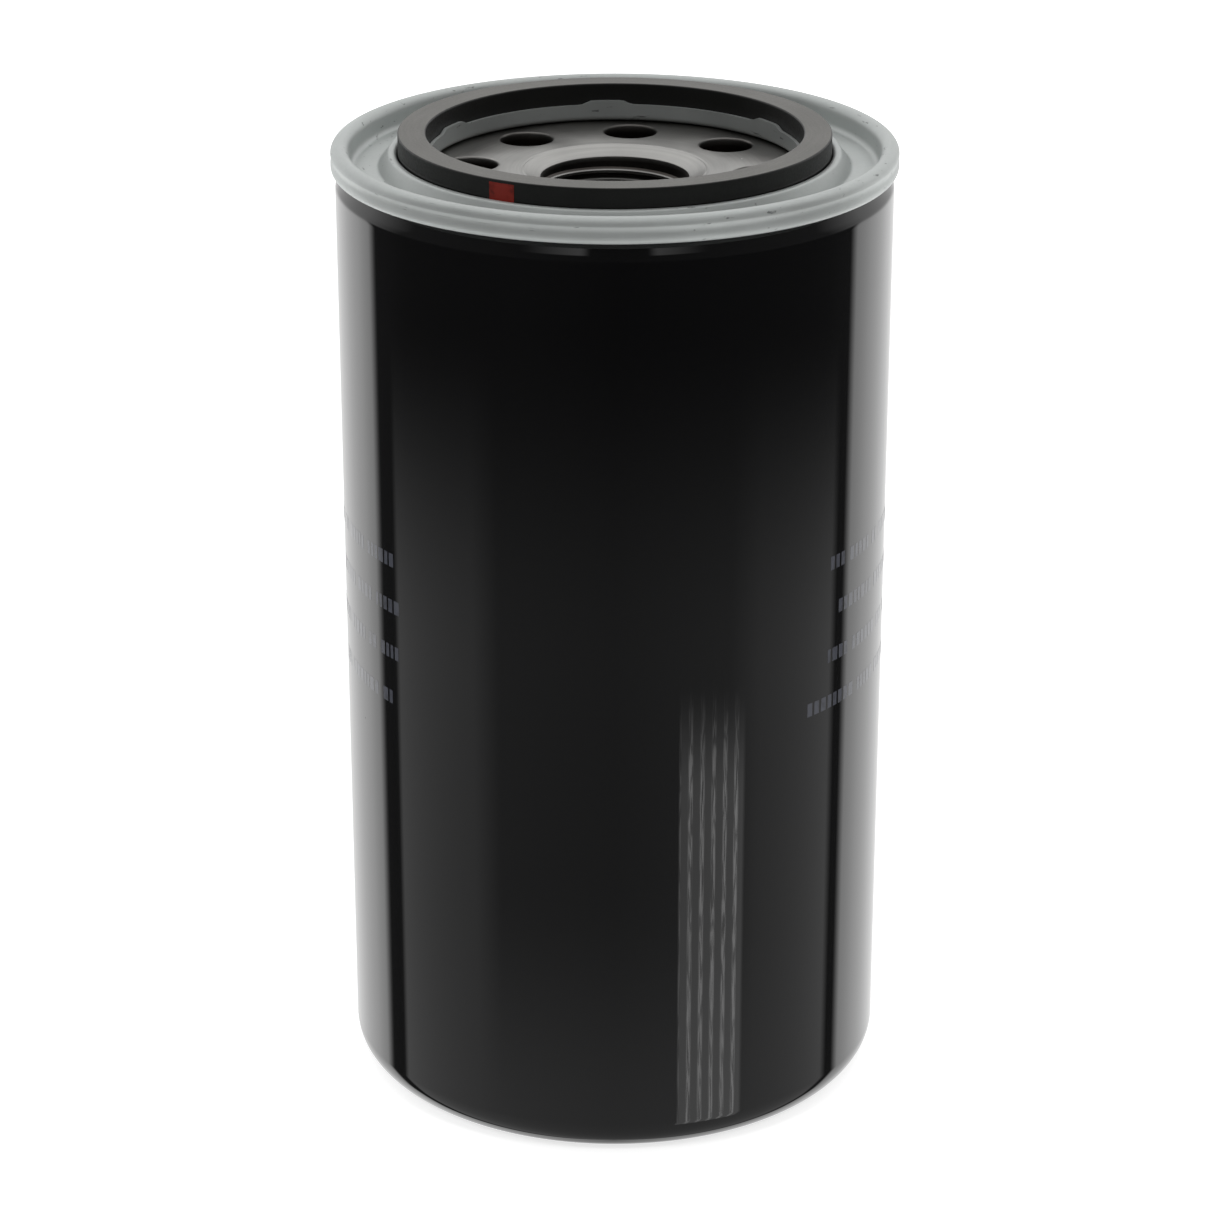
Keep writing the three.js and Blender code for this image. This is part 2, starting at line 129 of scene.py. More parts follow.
class LidSettings(bpy.types.PropertyGroup):
    sheet: size("Sheet", "Thickness of the lid's steel", 0.6)
    play: size("Play", "Gap between the layers of the seam", 0.08)
    seam_depth: size("Seam depth", "Height of the rolled seam", 4.3)
    lip_inside: size("Lip radius", "Inner radius of the lip inside the gasket", 30.78)
    lip_drop: size("Lip drop", "From the seam's crest down to the lip", 1.8)
    tab_rise: size("Tab rise", "How far the lip's tabs stand above it", 0.7)
    tab_count: count("Tabs", "Tabs round the lip", 6)
    hump_rise: size("Hump rise", "Height of the hump outside the gasket", 3.05)
    hump_width: size("Hump width", "Flat width of the hump", 0.88)
    hump_slope: size("Hump slope", "Width of the hump's outer slope", 1.9)
    waist: size("Waist", "Depth of the hollow that the seaming roll leaves", 0.16)
    zinc: tint("Zinc", "Colour of the zinc plate", (0.53, 0.555, 0.545))


class GasketSettings(bpy.types.PropertyGroup):
    width: size("Width", "From the gasket's bore to its outer wall", 4.7)
    edge: size("Edge", "Size of the gasket's lower edges", 0.6)
    rubber: tint("Rubber", "Colour of the rubber's skin", (0.0055, 0.0055, 0.005))
    # The top face's colour is a painted reflection of the bright backdrop.
    top_reflection: tint("Top reflection", "Colour of the ground top face", (0.19, 0.185, 0.172))
    dab_width: size("Dab width", "Width of the dab of inspection paint", 4.6)
    dab_height: size("Dab height", "Height of the dab of inspection paint", 3.1)
    dab_drop: size("Dab drop", "From the gasket's top face down to the dab", 0.5)
    dab: tint("Paint dab", "Colour of the inspection paint", (0.30, 0.022, 0.012))


class PlateSettings(bpy.types.PropertyGroup):
    thickness: size("Thickness", "Thickness of the threaded plate", 3.0)
    edge: size("Edge", "Radius of the plate's rim", 0.5)
    inlet_count: count("Inlets", "Oil inlets in the plate", 8)
    inlet_radius: size("Inlet radius", "Radius of one inlet", 4.5)
    inlet_circle: size("Inlet circle", "Radius of the circle that the inlets stand on", 24.3)
    inlet_roll: size("Inlet roll", "Rounding that the punch leaves at an inlet's mouth", 0.45)
    hub_radius: size("Hub radius", "Outer radius of the hub below the plate", 14.24)
    entry_radius: size("Entry radius", "Radius of the lead-in cone", 15.25)
    land: size("Land", "Plain width of the plate on each side of the inlets", 1.2)
    ring_radius: size("Ring radius", "Radius of the fine groove round the lead-in cone", 15.5)
    ring_depth: size("Ring depth", "Depth of the fine groove", 0.12)
    turn: FloatProperty(name="Turn", description="Turn of the inlets from the back of the filter",
                        default=radians(-6.5), subtype="ANGLE")
    entry_drop: size("Entry drop", "Depth of the lead-in cone", 1.6)
    thread_radius: size("Thread radius", "Radius inside the thread's crests", 11.84)
    thread_depth: size("Thread depth", "From the thread's crests to its roots", 0.6)
    thread_pitch: size("Thread pitch", "Pitch of the thread", 1.5875)
    steel: tint("Steel", "Colour of the plain steel", (0.45, 0.445, 0.43))


class ElementSettings(bpy.types.PropertyGroup):
    cap_sheet: size("Cap sheet", "Thickness of the end caps", 0.5)
    cap_rim: size("Cap rim", "Height of the end caps' rims", 5.5)
    valve_hole: size("Valve hole", "Radius of the hole for the bypass valve in the bottom cap", 13.5)
    neck_radius: size("Neck radius", "Inner radius of the top cap's neck", 17.84)
    seal_width: size("Seal width", "Width of the element's seal", 5.4)
    tube_wall: size("Tube wall", "Thickness of the centre tube", 0.6)
    hole_radius: size("Hole radius", "Radius of a hole in the centre tube", 2.6)
    hole_rows: count("Hole rows", "Rows of holes in the centre tube", 5)
    holes_round: count("Holes round", "Holes in one row", 6)
    hole_margin: size("Hole margin", "From the tube's end to its first row of holes", 12.0)
    pleats: count("Pleats", "Pleats of paper", 40)
    paper: size("Paper", "Thickness of the paper", 0.6)
    tip: size("Tip", "Half the width of a pleat's flat tip", 0.75)
    clip_sheet: size("Clip sheet", "Thickness of the clip on the paper's seam", 0.35)
    clip_depth: size("Clip depth", "How far the clip reaches down its pleat", 4.0)
    paper_colour: tint("Paper colour", "Colour of the resin-cured paper", (0.63, 0.45, 0.16))
    glue_colour: tint("Adhesive colour", "Colour of the potting adhesive", (0.20, 0.045, 0.03))
    valve_colour: tint("Valve rubber", "Colour of the anti-drain valve", (0.045, 0.014, 0.010))


class BypassSettings(bpy.types.PropertyGroup):
    seat_radius: size("Seat radius", "Inner radius of the valve's nozzle", 7.5)
    seat_sheet: size("Seat sheet", "Thickness of the valve's seat", 1.0)
    nozzle_width: size("Nozzle width", "Width of the nozzle's rim", 0.8)
    disc_rim: size("Disc rim", "Width and height of the valve disc's rim", 0.8)
    pin_radius: size("Pin radius", "Radius of the valve's pin", 1.8)
    pin_play: size("Pin play", "Gap between the pin and its holes", 0.3)
    cage_sheet: size("Cage sheet", "Thickness of the valve's cage", 0.6)
    cage_radius: size("Cage radius", "Outer radius of the cage's wall", 12.6)
    window_height: size("Window height", "Height of a window in the cage", 12.0)
    window_count: count("Windows", "Windows in the cage", 4)


class SpringSettings(bpy.types.PropertyGroup):
    support_wire: size("Support wire", "Radius of the support spring's wire", 1.1)
    support_turns: count("Support turns", "Turns of the support spring", 3)
    bypass_wire: size("Bypass wire", "Radius of the bypass spring's wire", 0.6)
    bypass_turns: count("Bypass turns", "Turns of the bypass spring", 6)


class StageSettings(bpy.types.PropertyGroup):
    floor_side: FloatProperty(name="Floor", description="Side of the square floor",
                              default=8.0, unit="LENGTH")
    lens: FloatProperty(name="Lens", description="Focal length of the camera, in millimetres",
                        default=111.5, unit="CAMERA")
    distance: FloatProperty(name="Camera distance", description="From the filter's axis to the camera",
                            default=0.6104, unit="LENGTH")
    height: FloatProperty(name="Camera height", description="Height of the camera above the floor",
                          default=0.3287, unit="LENGTH")
    sideways: FloatProperty(name="Camera shift", description="How far the camera stands to the right",
                            default=-0.0013, unit="LENGTH")
    tilt: FloatProperty(name="Camera tilt", description="Angle of the camera below the horizon",
                        default=radians(21.94), subtype="ANGLE")


# ---------------------------------------------------------------- outlines

ARC_STEP = radians(12)
SUPPORT = 0.35 * MM
WELD = 0.0005 * MM


def corners_of(line):
    """Gives a corner that has no fillet a fillet of nought."""
    return [(*corner, 0)[:3] for corner in line]


def folded(line, sheet):
    """The closed outline of a folded sheet, from the corners (radius, height, fillet) of its middle line."""
    line = corners_of(line)
    right, left = [], []
    for index, (radius, height, fillet) in enumerate(line):
        here = Vector((radius, height))
        before = here - Vector(line[index - 1][:2]) if index else None
        after = Vector(line[index + 1][:2]) - here if index + 1 < len(line) else None
        into = (before or after).normalized() if before or after else None
        onward = (after or before).normalized()
        normal = Vector((into.y + onward.y, -into.x - onward.x)).normalized()
        shift = normal * (sheet / 2 / normal.dot(Vector((into.y, -into.x))))
        growth = copysign(sheet / 2, into.cross(onward)) if fillet else 0
        right.append((*(here + shift), max(0, fillet + growth)))
        left.append((*(here - shift), max(0, fillet - growth)))
    return right + left[::-1]


def draw(bm, outline):
    """Draws a closed outline in the XZ plane, rounds its corners and adds a support point near each."""
    outline = corners_of(outline)
    points = [bm.verts.new((max(0, radius), 0, height)) for radius, height, _ in outline]
    places = [point.co.copy() for point in points]
    for here, after in zip(points, points[1:] + points[:1]):
        if here.co.x > 0 or after.co.x > 0:
            bm.edges.new((here, after))
    for index, (_, _, fillet) in enumerate(outline):
        if fillet <= 0:
            continue
        here = places[index]
        before, after = places[index - 1] - here, places[(index + 1) % len(places)] - here
        half = before.angle(after) / 2
        if half > radians(89):
            continue
        steps = max(2, ceil((pi - 2 * half) / ARC_STEP))
        bmesh.ops.bevel(bm, geom=[points[index]], affect="VERTICES", offset=fillet / tan(half),
                        segments=steps, profile=0.5, material=-1)
    for edge in [edge for edge in bm.edges if edge.calc_length() > 4 * SUPPORT and not edge.link_faces]:
        near, far = edge.verts
        _, point = bmesh.utils.edge_split(edge, near, SUPPORT / edge.calc_length())
        rest = next(part for part in point.link_edges if far in part.verts)
        bmesh.utils.edge_split(rest, far, SUPPORT / rest.calc_length())


def spin_round(bm, steps):
    """Spins what is drawn once round the Z axis and closes its poles."""
    bmesh.ops.spin(bm, geom=bm.verts[:] + bm.edges[:], cent=(0, 0, 0), axis=(0, 0, 1),
                   angle=2 * pi, steps=steps, use_merge=True)
    bmesh.ops.remove_doubles(bm, verts=bm.verts[:], dist=WELD)


def turned(outline, steps=96):
    bm = bmesh.new()
    draw(bm, outline)
    spin_round(bm, steps)
    return bm


def block(inner, outer, low, high, below, above=None):
    """The outline of a plain ring, with one fillet for its lower corners and one for its upper ones."""
    above = below if above is None else above
    return [(inner, low, below), (outer, low, below), (outer, high, above), (inner, high, above)]


def azimuth(place):
    """Angle of a place from the back of the filter, clockwise seen from above."""
    return atan2(place.x, place.y)


# ---------------------------------------------------------------- pieces

def place_piece(name, bm, finish, node, stands_for=True, sharp=radians(40)):
    """Turns a bmesh into a piece that rides with the node's body and stands for the node."""
    bmesh.ops.remove_doubles(bm, verts=bm.verts[:], dist=WELD)
    bmesh.ops.recalc_face_normals(bm, faces=bm.faces[:])
    closed = not any(edge.is_boundary for edge in bm.edges)
    if closed and bm.calc_volume(signed=True) < 0:
        bmesh.ops.reverse_faces(bm, faces=bm.faces[:])
    for face in bm.faces:
        face.smooth = True
    for edge in bm.edges:
        edge.smooth = not edge.is_boundary and edge.calc_face_angle(0) < sharp
    mesh = bpy.data.meshes.new(name)
    bm.to_mesh(mesh)
    bm.free()
    mesh.materials.append(finish)
    piece = bpy.data.objects.new(name, mesh)
    bpy.context.scene.collection.objects.link(piece)
    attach(piece, BODY_OF[node])
    if stands_for:
        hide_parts(node)
    return piece


def give_wall(piece, thickness):
    """Gives an open skin its thickness, half on each side."""
    wall = piece.modifiers.new("Wall", "SOLIDIFY")
    wall.thickness = thickness
    wall.offset = 0
    wall.use_even_offset = True


def bridge(bm, first, second):
    bmesh.ops.bridge_loops(bm, edges=first + second)


def loop_edges(verts):
    """The edges whose two ends are both among the given vertices."""
    chosen = set(verts)
    return list({edge for vert in verts for edge in vert.link_edges if edge.other_vert(vert) in chosen})


def circle(bm, centre, radius, segments, turn=None):
    """A circle of edges. It lies flat unless it is turned."""
    matrix = Matrix.Translation(centre) @ (turn or Matrix.Identity(4))
    made = bmesh.ops.create_circle(bm, segments=segments, radius=radius, matrix=matrix)
    return made["verts"]


def frame_loop(bm, half_width, half_height, width_cuts, height_cuts):
    """A rectangle of edges about the origin of the XY plane, cut into even steps."""
    sides = [(-half_width, -half_height), (half_width, -half_height),
             (half_width, half_height), (-half_width, half_height)]
    made = [bm.verts.new((x, y, 0)) for x, y in sides]
    for index, (near, far) in enumerate(zip(made[:4], made[1:4] + made[:1])):
        rest = bm.edges.new((near, far))
        cuts = height_cuts if index % 2 else width_cuts
        for cut in range(cuts):
            _, near = bmesh.utils.edge_split(rest, near, 1 / (cuts + 1 - cut))
            rest = next(part for part in near.link_edges if far in part.verts)
            made.append(near)
    return made


# ---------------------------------------------------------------- finishes

class Nodes:
    """Lays out and joins the nodes of one tree."""

    def __init__(self, tree):
        self.tree = tree

    def plug(self, socket, value):
        """Joins a socket to an output, or sets its value."""
        if isinstance(value, bpy.types.NodeSocket):
            self.tree.links.new(value, socket)
        else:
            socket.default_value = value

    def put(self, kind, inputs=None, **options):
        node = self.tree.nodes.new("ShaderNode" + kind)
        for option, value in options.items():
            setattr(node, option, value)
        for socket, value in (inputs or {}).items():
            self.plug(node.inputs[socket], value)
        return node

    def sums(self, operation, first, second=0.0, third=0.0):
        return self.put("Math", {0: first, 1: second, 2: third}, operation=operation).outputs[0]


class Recipe(Nodes):
    """The nodes of one finish."""

    def __init__(self, name, colour, roughness, metallic=0.0, **sockets):
        self.material = bpy.data.materials.new(name)
        self.material.use_nodes = True
        self.material.diffuse_color = (*colour, 1)
        super().__init__(self.material.node_tree)
        self.surface = self.tree.nodes["Principled BSDF"]
        self.set("Base Color", (*colour, 1))
        self.set("Roughness", roughness)
        self.set("Metallic", metallic)
        for socket, value in sockets.items():
            self.set(socket.replace("_", " "), value)
        self.place = self.put("TexCoord").outputs["Object"]

    def set(self, socket, value):
        self.plug(self.surface.inputs[socket], value)

    def grain(self, scale, detail=2.0, roughness=0.5, place=None):
        """Cloudy noise, of so many lumps to the metre."""
        return self.put("TexNoise", {"Vector": place or self.place, "Scale": scale, "Detail": detail,
                                     "Roughness": roughness}).outputs["Fac"]

    def spots(self, scale, radius, share):
        """Small round specks, one at most to a cell, in that share of the cells."""
        cells = self.put("TexVoronoi", {"Vector": self.place, "Scale": scale})
        near = self.sums("LESS_THAN", cells.outputs["Distance"], radius)
        dice = self.put("SeparateColor", {"Color": cells.outputs["Color"]}).outputs["Red"]
        return self.sums("MULTIPLY", near, self.sums("LESS_THAN", dice, share))

    def spread(self, value, low, high, start=0.3, end=0.7):
        """Maps a pattern onto a range of values."""
        return self.put("MapRange", {"Value": value, "From Min": start, "From Max": end,
                                     "To Min": low, "To Max": high}).outputs["Result"]

    def mixed(self, share, first, second):
        node = self.put("Mix", data_type="RGBA")
        self.plug(node.inputs[0], share)
        for index, colour in ((6, first), (7, second)):
            linked = isinstance(colour, bpy.types.NodeSocket)
            self.plug(node.inputs[index], colour if linked else (*colour, 1))
        return node.outputs[2]

    def parts(self):
        """X, Y, Z and the distance from the Z axis."""
        split = self.put("SeparateXYZ", {"Vector": self.place}).outputs
        across = self.sums("SQRT", self.sums("ADD", self.sums("MULTIPLY", split[0], split[0]),
                                             self.sums("MULTIPLY", split[1], split[1])))
        return split[0], split[1], split[2], across

    def round_the_axis(self, drift=0.02):
        """Coordinates that change fast across the turning marks and slowly along them."""
        x, y, z, across = self.parts()
        wander = self.sums("MULTIPLY_ADD", x, drift, self.sums("MULTIPLY", y, 1.7 * drift))
        return self.put("CombineXYZ", {"X": across, "Y": z, "Z": wander}).outputs[0]

    def bump(self, height, distance, strength=1.0, under=None):
        inputs = {"Height": height, "Distance": distance, "Strength": strength}
        if under:
            inputs["Normal"] = under
        return self.put("Bump", inputs).outputs["Normal"]


def shade(colour, factor):
    return tuple(min(1.0, part * factor) for part in colour)


def gloss_paint(colour):
    """Stoved gloss paint: a faint orange peel, a few dust specks and finger-soft patches."""
    recipe = Recipe("gloss_black_paint", colour, 0.07, IOR=1.5)
    patches = recipe.grain(22, 3)
    dust = recipe.spots(140, 0.022, 0.16)
    recipe.set("Roughness", recipe.sums("ADD", recipe.spread(patches, 0.015, 0.03),
                                        recipe.sums("MULTIPLY", dust, 0.4)))
    body = recipe.mixed(recipe.grain(9, 2), shade(colour, 0.8), shade(colour, 1.25))
    recipe.set("Base Color", recipe.mixed(dust, body, (0.03, 0.03, 0.03)))
    peel = recipe.bump(recipe.grain(420, 1.5), 0.0006 * MM)
    recipe.set("Normal", recipe.bump(dust, 0.02 * MM, 0.5, peel))
    return recipe.material


def zinc_plate(colour):
    """Satin zinc plate on pressed sheet: drawing marks round the axis, cloudy bloom and dark scuffs."""
    recipe = Recipe("satin_zinc_plate", colour, 0.42, 0.6)
    lines = recipe.grain(2600, 3, 0.6, recipe.round_the_axis())
    bloom = recipe.grain(55, 4)
    fine = recipe.grain(1500, 2)
    scuff_map = recipe.grain(900, 3, 0.65, recipe.round_the_axis(0.25))
    scuffs = recipe.spread(scuff_map, 0.0, 0.75, 0.66, 0.72)
    clean = recipe.mixed(recipe.spread(bloom, 0, 1), shade(colour, 0.88), shade(colour, 1.08))
    recipe.set("Base Color", recipe.mixed(scuffs, clean, shade(colour, 0.22)))
    recipe.set("Roughness", recipe.sums("ADD", recipe.spread(bloom, 0.42, 0.52),
                                        recipe.spread(fine, -0.04, 0.05)))
    grain = recipe.bump(fine, 0.004 * MM)
    recipe.set("Normal", recipe.bump(lines, 0.003 * MM, 1.0, grain))
    return recipe.material


def plain_steel(colour, top, crest):
    """Pressed steel: turning marks and bright nicks, with painted shade darkening the inlets and the thread's
    roots, and a painted reflection of the dark gasket and lip darkening it towards the rim.
    """
    recipe = Recipe("plain_pressed_steel", colour, 0.36, 1.0)
    _, _, height, across = recipe.parts()
    # Painted reflection and painted shade: the colour darkens towards the rim, where the plate reflects the
    # dark gasket and lip.
    rim = recipe.spread(across, 1.0, 0.40, 20 * MM, 29 * MM)
    lead_in = recipe.spread(across, 0.8 * MM, 0.0, 16 * MM, 18 * MM)
    depth = recipe.sums("ADD", height, lead_in)
    # Painted shade: the colour darkens below the top face, in the inlets and the thread's roots; the lead-in
    # cone counts as higher.
    hole = recipe.spread(depth, 0.16, 1.0, top - 1.4 * MM, top - 0.5 * MM)
    # The thread's crests stay lit, clear of the painted shade.
    lit_crest = recipe.spread(across, 1.0, 0.0, crest + 0.12 * MM, crest + 0.3 * MM)
    shade_free = recipe.sums("MULTIPLY", rim, recipe.sums("MAXIMUM", hole, lit_crest))
    lines = recipe.grain(1900, 3, 0.6, recipe.round_the_axis())
    bloom = recipe.grain(70, 4)
    nicks = recipe.spots(330, 0.05, 0.10)
    clean = recipe.mixed(recipe.spread(bloom, 0, 1), shade(colour, 0.72), shade(colour, 1.05))
    marked = recipe.mixed(recipe.spread(lines, 0, 0.35), clean, shade(colour, 0.55))
    # The painted shade and painted reflection are a dark brown-black mixed into the steel's colour.
    with_painted_shade = recipe.mixed(shade_free, (0.03, 0.021, 0.016), marked)
    recipe.set("Base Color", recipe.mixed(nicks, with_painted_shade, shade(colour, 1.7)))
    recipe.set("Roughness", recipe.spread(bloom, 0.30, 0.44))
    recipe.set("Normal", recipe.bump(lines, 0.006 * MM))
    return recipe.material


def spring_wire(colour=(0.22, 0.22, 0.235)):
    """Drawn wire, tempered dark, with fine die lines and straw patches."""
    recipe = Recipe("drawn_spring_wire", colour, 0.32, 1.0)
    bloom = recipe.grain(120, 4)
    recipe.set("Base Color", recipe.mixed(recipe.spread(bloom, 0, 1), colour, (0.30, 0.24, 0.16)))
    recipe.set("Roughness", recipe.spread(recipe.grain(700, 3), 0.24, 0.42))
    recipe.set("Normal", recipe.bump(recipe.grain(2400, 2), 0.003 * MM))
    return recipe.material


def gasket_rubber(colour, reflection_colour, top):
    """Moulded nitrile: a smooth dark skin, and a top face painted light grey as a painted reflection of the
    bright backdrop, with fine rings and grey bloom.
    """
    recipe = Recipe("moulded_nitrile", colour, 0.5, IOR=1.5)
    _, _, height, _ = recipe.parts()
    on_top = recipe.sums("GREATER_THAN", height, top)
    rings = recipe.grain(3200, 3, 0.6, recipe.round_the_axis())
    bloom = recipe.grain(60, 4)
    fine = recipe.grain(2600, 2)
    skin = recipe.mixed(recipe.spread(bloom, 0, 1), shade(colour, 0.8), shade(colour, 1.5))
    # Painted reflection: the top face gets a light grey colour for the bright backdrop it would reflect.
    reflected = recipe.mixed(recipe.spread(bloom, 0, 1), shade(reflection_colour, 0.82), reflection_colour)
    reflected = recipe.mixed(recipe.spread(rings, 0, 0.4), reflected, shade(reflection_colour, 0.6))
    recipe.set("Base Color", recipe.mixed(on_top, skin, reflected))
    recipe.set("Roughness", recipe.sums("MULTIPLY_ADD", on_top, 0.12, recipe.spread(fine, 0.42, 0.56)))
    recipe.set("Normal", recipe.bump(rings, 0.006 * MM, 0.8, recipe.bump(fine, 0.004 * MM)))
    return recipe.material


def soft_rubber(name, colour):
    """Matt moulded rubber with a talc bloom."""
    recipe = Recipe(name, colour, 0.6)
    bloom = recipe.grain(90, 5, 0.6)
    recipe.set("Base Color", recipe.mixed(recipe.spread(bloom, 0, 0.35, 0.5, 0.8), colour,
                                          tuple(0.5 * part + 0.08 for part in colour)))
    recipe.set("Roughness", recipe.spread(recipe.grain(1400, 3), 0.5, 0.72))
    recipe.set("Normal", recipe.bump(recipe.grain(2200, 3), 0.01 * MM))
    return recipe.material


def filter_paper(colour):
    """Resin-cured paper: felted fibres, uneven resin and embossed ribs."""
    recipe = Recipe("cured_filter_paper", colour, 0.85, Subsurface_Weight=0.0)
    fibres = recipe.put("TexNoise", {"Vector": recipe.put("Mapping", {
        "Vector": recipe.place, "Scale": (2600, 2600, 420)}).outputs[0],
        "Scale": 1.0, "Detail": 4.0, "Distortion": 0.8}).outputs["Fac"]
    resin = recipe.grain(140, 4)
    tone = recipe.mixed(recipe.spread(resin, 0, 1), shade(colour, 0.72), shade(colour, 1.1))
    recipe.set("Base Color", recipe.mixed(recipe.spread(fibres, 0, 0.5), tone, shade(colour, 0.6)))
    recipe.set("Roughness", recipe.spread(fibres, 0.75, 0.95))
    ribs = recipe.put("TexWave", {"Vector": recipe.place, "Scale": 160.0, "Distortion": 0.3},
                      wave_type="BANDS", bands_direction="Z").outputs["Fac"]
    recipe.set("Normal", recipe.bump(fibres, 0.05 * MM, 0.8, recipe.bump(ribs, 0.04 * MM, 0.6)))
    return recipe.material


def cured_paste(name, colour, roughness, lumps):
    """Adhesive or sealing paste that cured with a skin, bubbles and a wavy surface."""
    recipe = Recipe(name, colour, roughness, IOR=1.48)
    waves = recipe.grain(lumps, 4, 0.55)
    bubbles = recipe.spots(5 * lumps, 0.18, 0.2)
    tone = recipe.mixed(recipe.spread(waves, 0, 1), shade(colour, 0.7), shade(colour, 1.2))
    recipe.set("Base Color", recipe.mixed(bubbles, tone, shade(colour, 0.35)))
    recipe.set("Roughness", recipe.spread(waves, roughness - 0.1, roughness + 0.12))
    pits = recipe.bump(recipe.sums("SUBTRACT", 1.0, bubbles), 0.05 * MM)
    recipe.set("Normal", recipe.bump(waves, 0.12 * MM, 1.0, pits))
    return recipe.material


def screen_ink(name, colour, gloss, wear):
    """Printed or dabbed ink: a thin satin coat, patchy where it is worn."""
    recipe = Recipe(name, colour, gloss, IOR=1.5)
    patches = recipe.grain(420, 4, 0.6)
    worn = recipe.spread(patches, 0.0, wear, 0.52, 0.66)
    recipe.set("Base Color", recipe.mixed(worn, colour, shade(colour, 0.25)))
    recipe.set("Roughness", recipe.spread(patches, gloss, 1.6 * gloss))
    recipe.set("Normal", recipe.bump(recipe.grain(1600, 2), 0.004 * MM))
    return recipe.material


FINISHES = {}


def finish(name):
    """A finish, made when the first piece asks for it."""
    scene = bpy.context.scene
    makers = {
        "paint": lambda: gloss_paint(scene.filter_can.paint),
        "zinc": lambda: zinc_plate(scene.filter_lid.zinc),
        "steel": lambda: plain_steel(scene.filter_plate.steel, head("tapping_plate"),
                                     scene.filter_plate.thread_radius),
        "wire": spring_wire,
        "gasket": lambda: gasket_rubber(scene.filter_gasket.rubber, scene.filter_gasket.top_reflection,
                                        head("sealing_gasket") - 0.02 * MM),
        "seal": lambda: soft_rubber("matt_nitrile", scene.filter_gasket.rubber),
        "valve": lambda: soft_rubber("brown_valve_rubber", scene.filter_element.valve_colour),
        "paper": lambda: filter_paper(scene.filter_element.paper_colour),
        "glue": lambda: cured_paste("potting_adhesive", scene.filter_element.glue_colour, 0.4, 260),
        "sealant": lambda: cured_paste("seam_compound", (0.25, 0.27, 0.24), 0.55, 400),
        "ink": lambda: screen_ink("printed_ink", scene.filter_print.ink, 0.1, 0.5),
        "dab": lambda: screen_ink("inspection_paint", scene.filter_gasket.dab, 0.4, 0.8),
    }
    if name not in FINISHES:
        FINISHES[name] = makers[name]()
    return FINISHES[name]


# ---------------------------------------------------------------- operators

HAIR = 0.005 * MM


class Seam:
    """The layers of the double seam, counted inwards from the lid's skirt."""

    def __init__(self, can, lid):
        self.step = (can.sheet + lid.sheet) / 2 + lid.play
        self.skirt = reach("seaming_lid") - lid.sheet / 2
        self.can_hook, self.lid_hook, self.neck, self.chuck = (
            self.skirt - layer * self.step for layer in (1, 2, 3, 4))
        self.top = head("seaming_lid")
        self.bottom = self.top - lid.seam_depth
        self.crest = self.top - lid.sheet / 2
        self.can_fold = self.crest - self.step


class BuildCan(bpy.types.Operator):
    """Presses the can: its panelled closed end, its wall, its neck and its hook in the seam"""
    bl_idname = "oil_filter.build_can"
    bl_label = "Can"

    def execute(self, context):
        can, lid = context.scene.filter_can, context.scene.filter_lid
        seam = Seam(can, lid)
        wall = reach("can") - can.sheet / 2
        base = foot("can") + can.sheet / 2
        panel = reach("can") - can.panel_inset
        hook_end = seam.bottom + lid.sheet + lid.play + 0.4 * MM
        line = [
            (0, base + can.panel_rise),
            (panel, base + can.panel_rise, 1.2 * MM),
            (panel + can.panel_slope, base, 1.2 * MM),
            (wall, base, can.corner - can.sheet / 2),
            (wall, seam.bottom - can.neck, 1.2 * MM),
            (seam.neck, seam.bottom - 0.4 * MM, 1.2 * MM),
            (seam.neck, seam.can_fold, seam.step - HAIR),
            (seam.can_hook, seam.can_fold, seam.step - HAIR),
            (seam.can_hook, hook_end),
        ]
        place_piece("can_shell", turned(folded(line, can.sheet), 192), finish("paint"), "can")
        return {"FINISHED"}


def bar(bm, radius, middle, width, low, high):
    """A thin upright patch on a cylinder: an edge spun through the patch's width."""
    start = middle - width / 2 / radius
    ends = [bm.verts.new((radius * sin(start), radius * cos(start), height)) for height in (low, high)]
    edge = bm.edges.new(ends)
    steps = max(1, ceil(width / radius / radians(1.5)))
    bmesh.ops.spin(bm, geom=ends + [edge], cent=(0, 0, 0), axis=(0, 0, 1), angle=-width / radius,
                   steps=steps, use_merge=False)


class BuildPrint(bpy.types.Operator):
    """Prints blocks of plain upright bars on the can where its instructions stand"""
    bl_idname = "oil_filter.build_print"
    bl_label = "Print"

    BLOCKS = ((radians(112), 30 * MM), (radians(-112), 30 * MM), (0, 44 * MM))
    RAGGED = 3 * MM
    STROKE_GAP = 0.5 * MM
    WORD_GAP = 1.3 * MM

    def execute(self, context):
        settings = context.scene.filter_print
        radius = reach("can") + settings.ink_depth / 2 + 0.002 * MM
        bm = bmesh.new()
        dice = Random(11)
        for middle, length in self.BLOCKS:
            for line in range(settings.line_count):
                low = settings.low_line + line * settings.line_pitch
                start = -length / 2 + dice.uniform(0, 1) * self.RAGGED
                while start < length / 2 - self.RAGGED:
                    for _ in range(dice.randint(2, 8)):
                        stroke = dice.uniform(0.7, 1.5) * MM
                        bar(bm, radius, middle + (start + stroke / 2) / radius, stroke, low,
                            low + settings.line_height)
                        start += stroke + self.STROKE_GAP
                    start += self.WORD_GAP
        bmesh.ops.recalc_face_normals(bm, faces=bm.faces[:])
        piece = place_piece("can_print", bm, finish("ink"), "can", stands_for=False)
        give_wall(piece, settings.ink_depth)
        return {"FINISHED"}


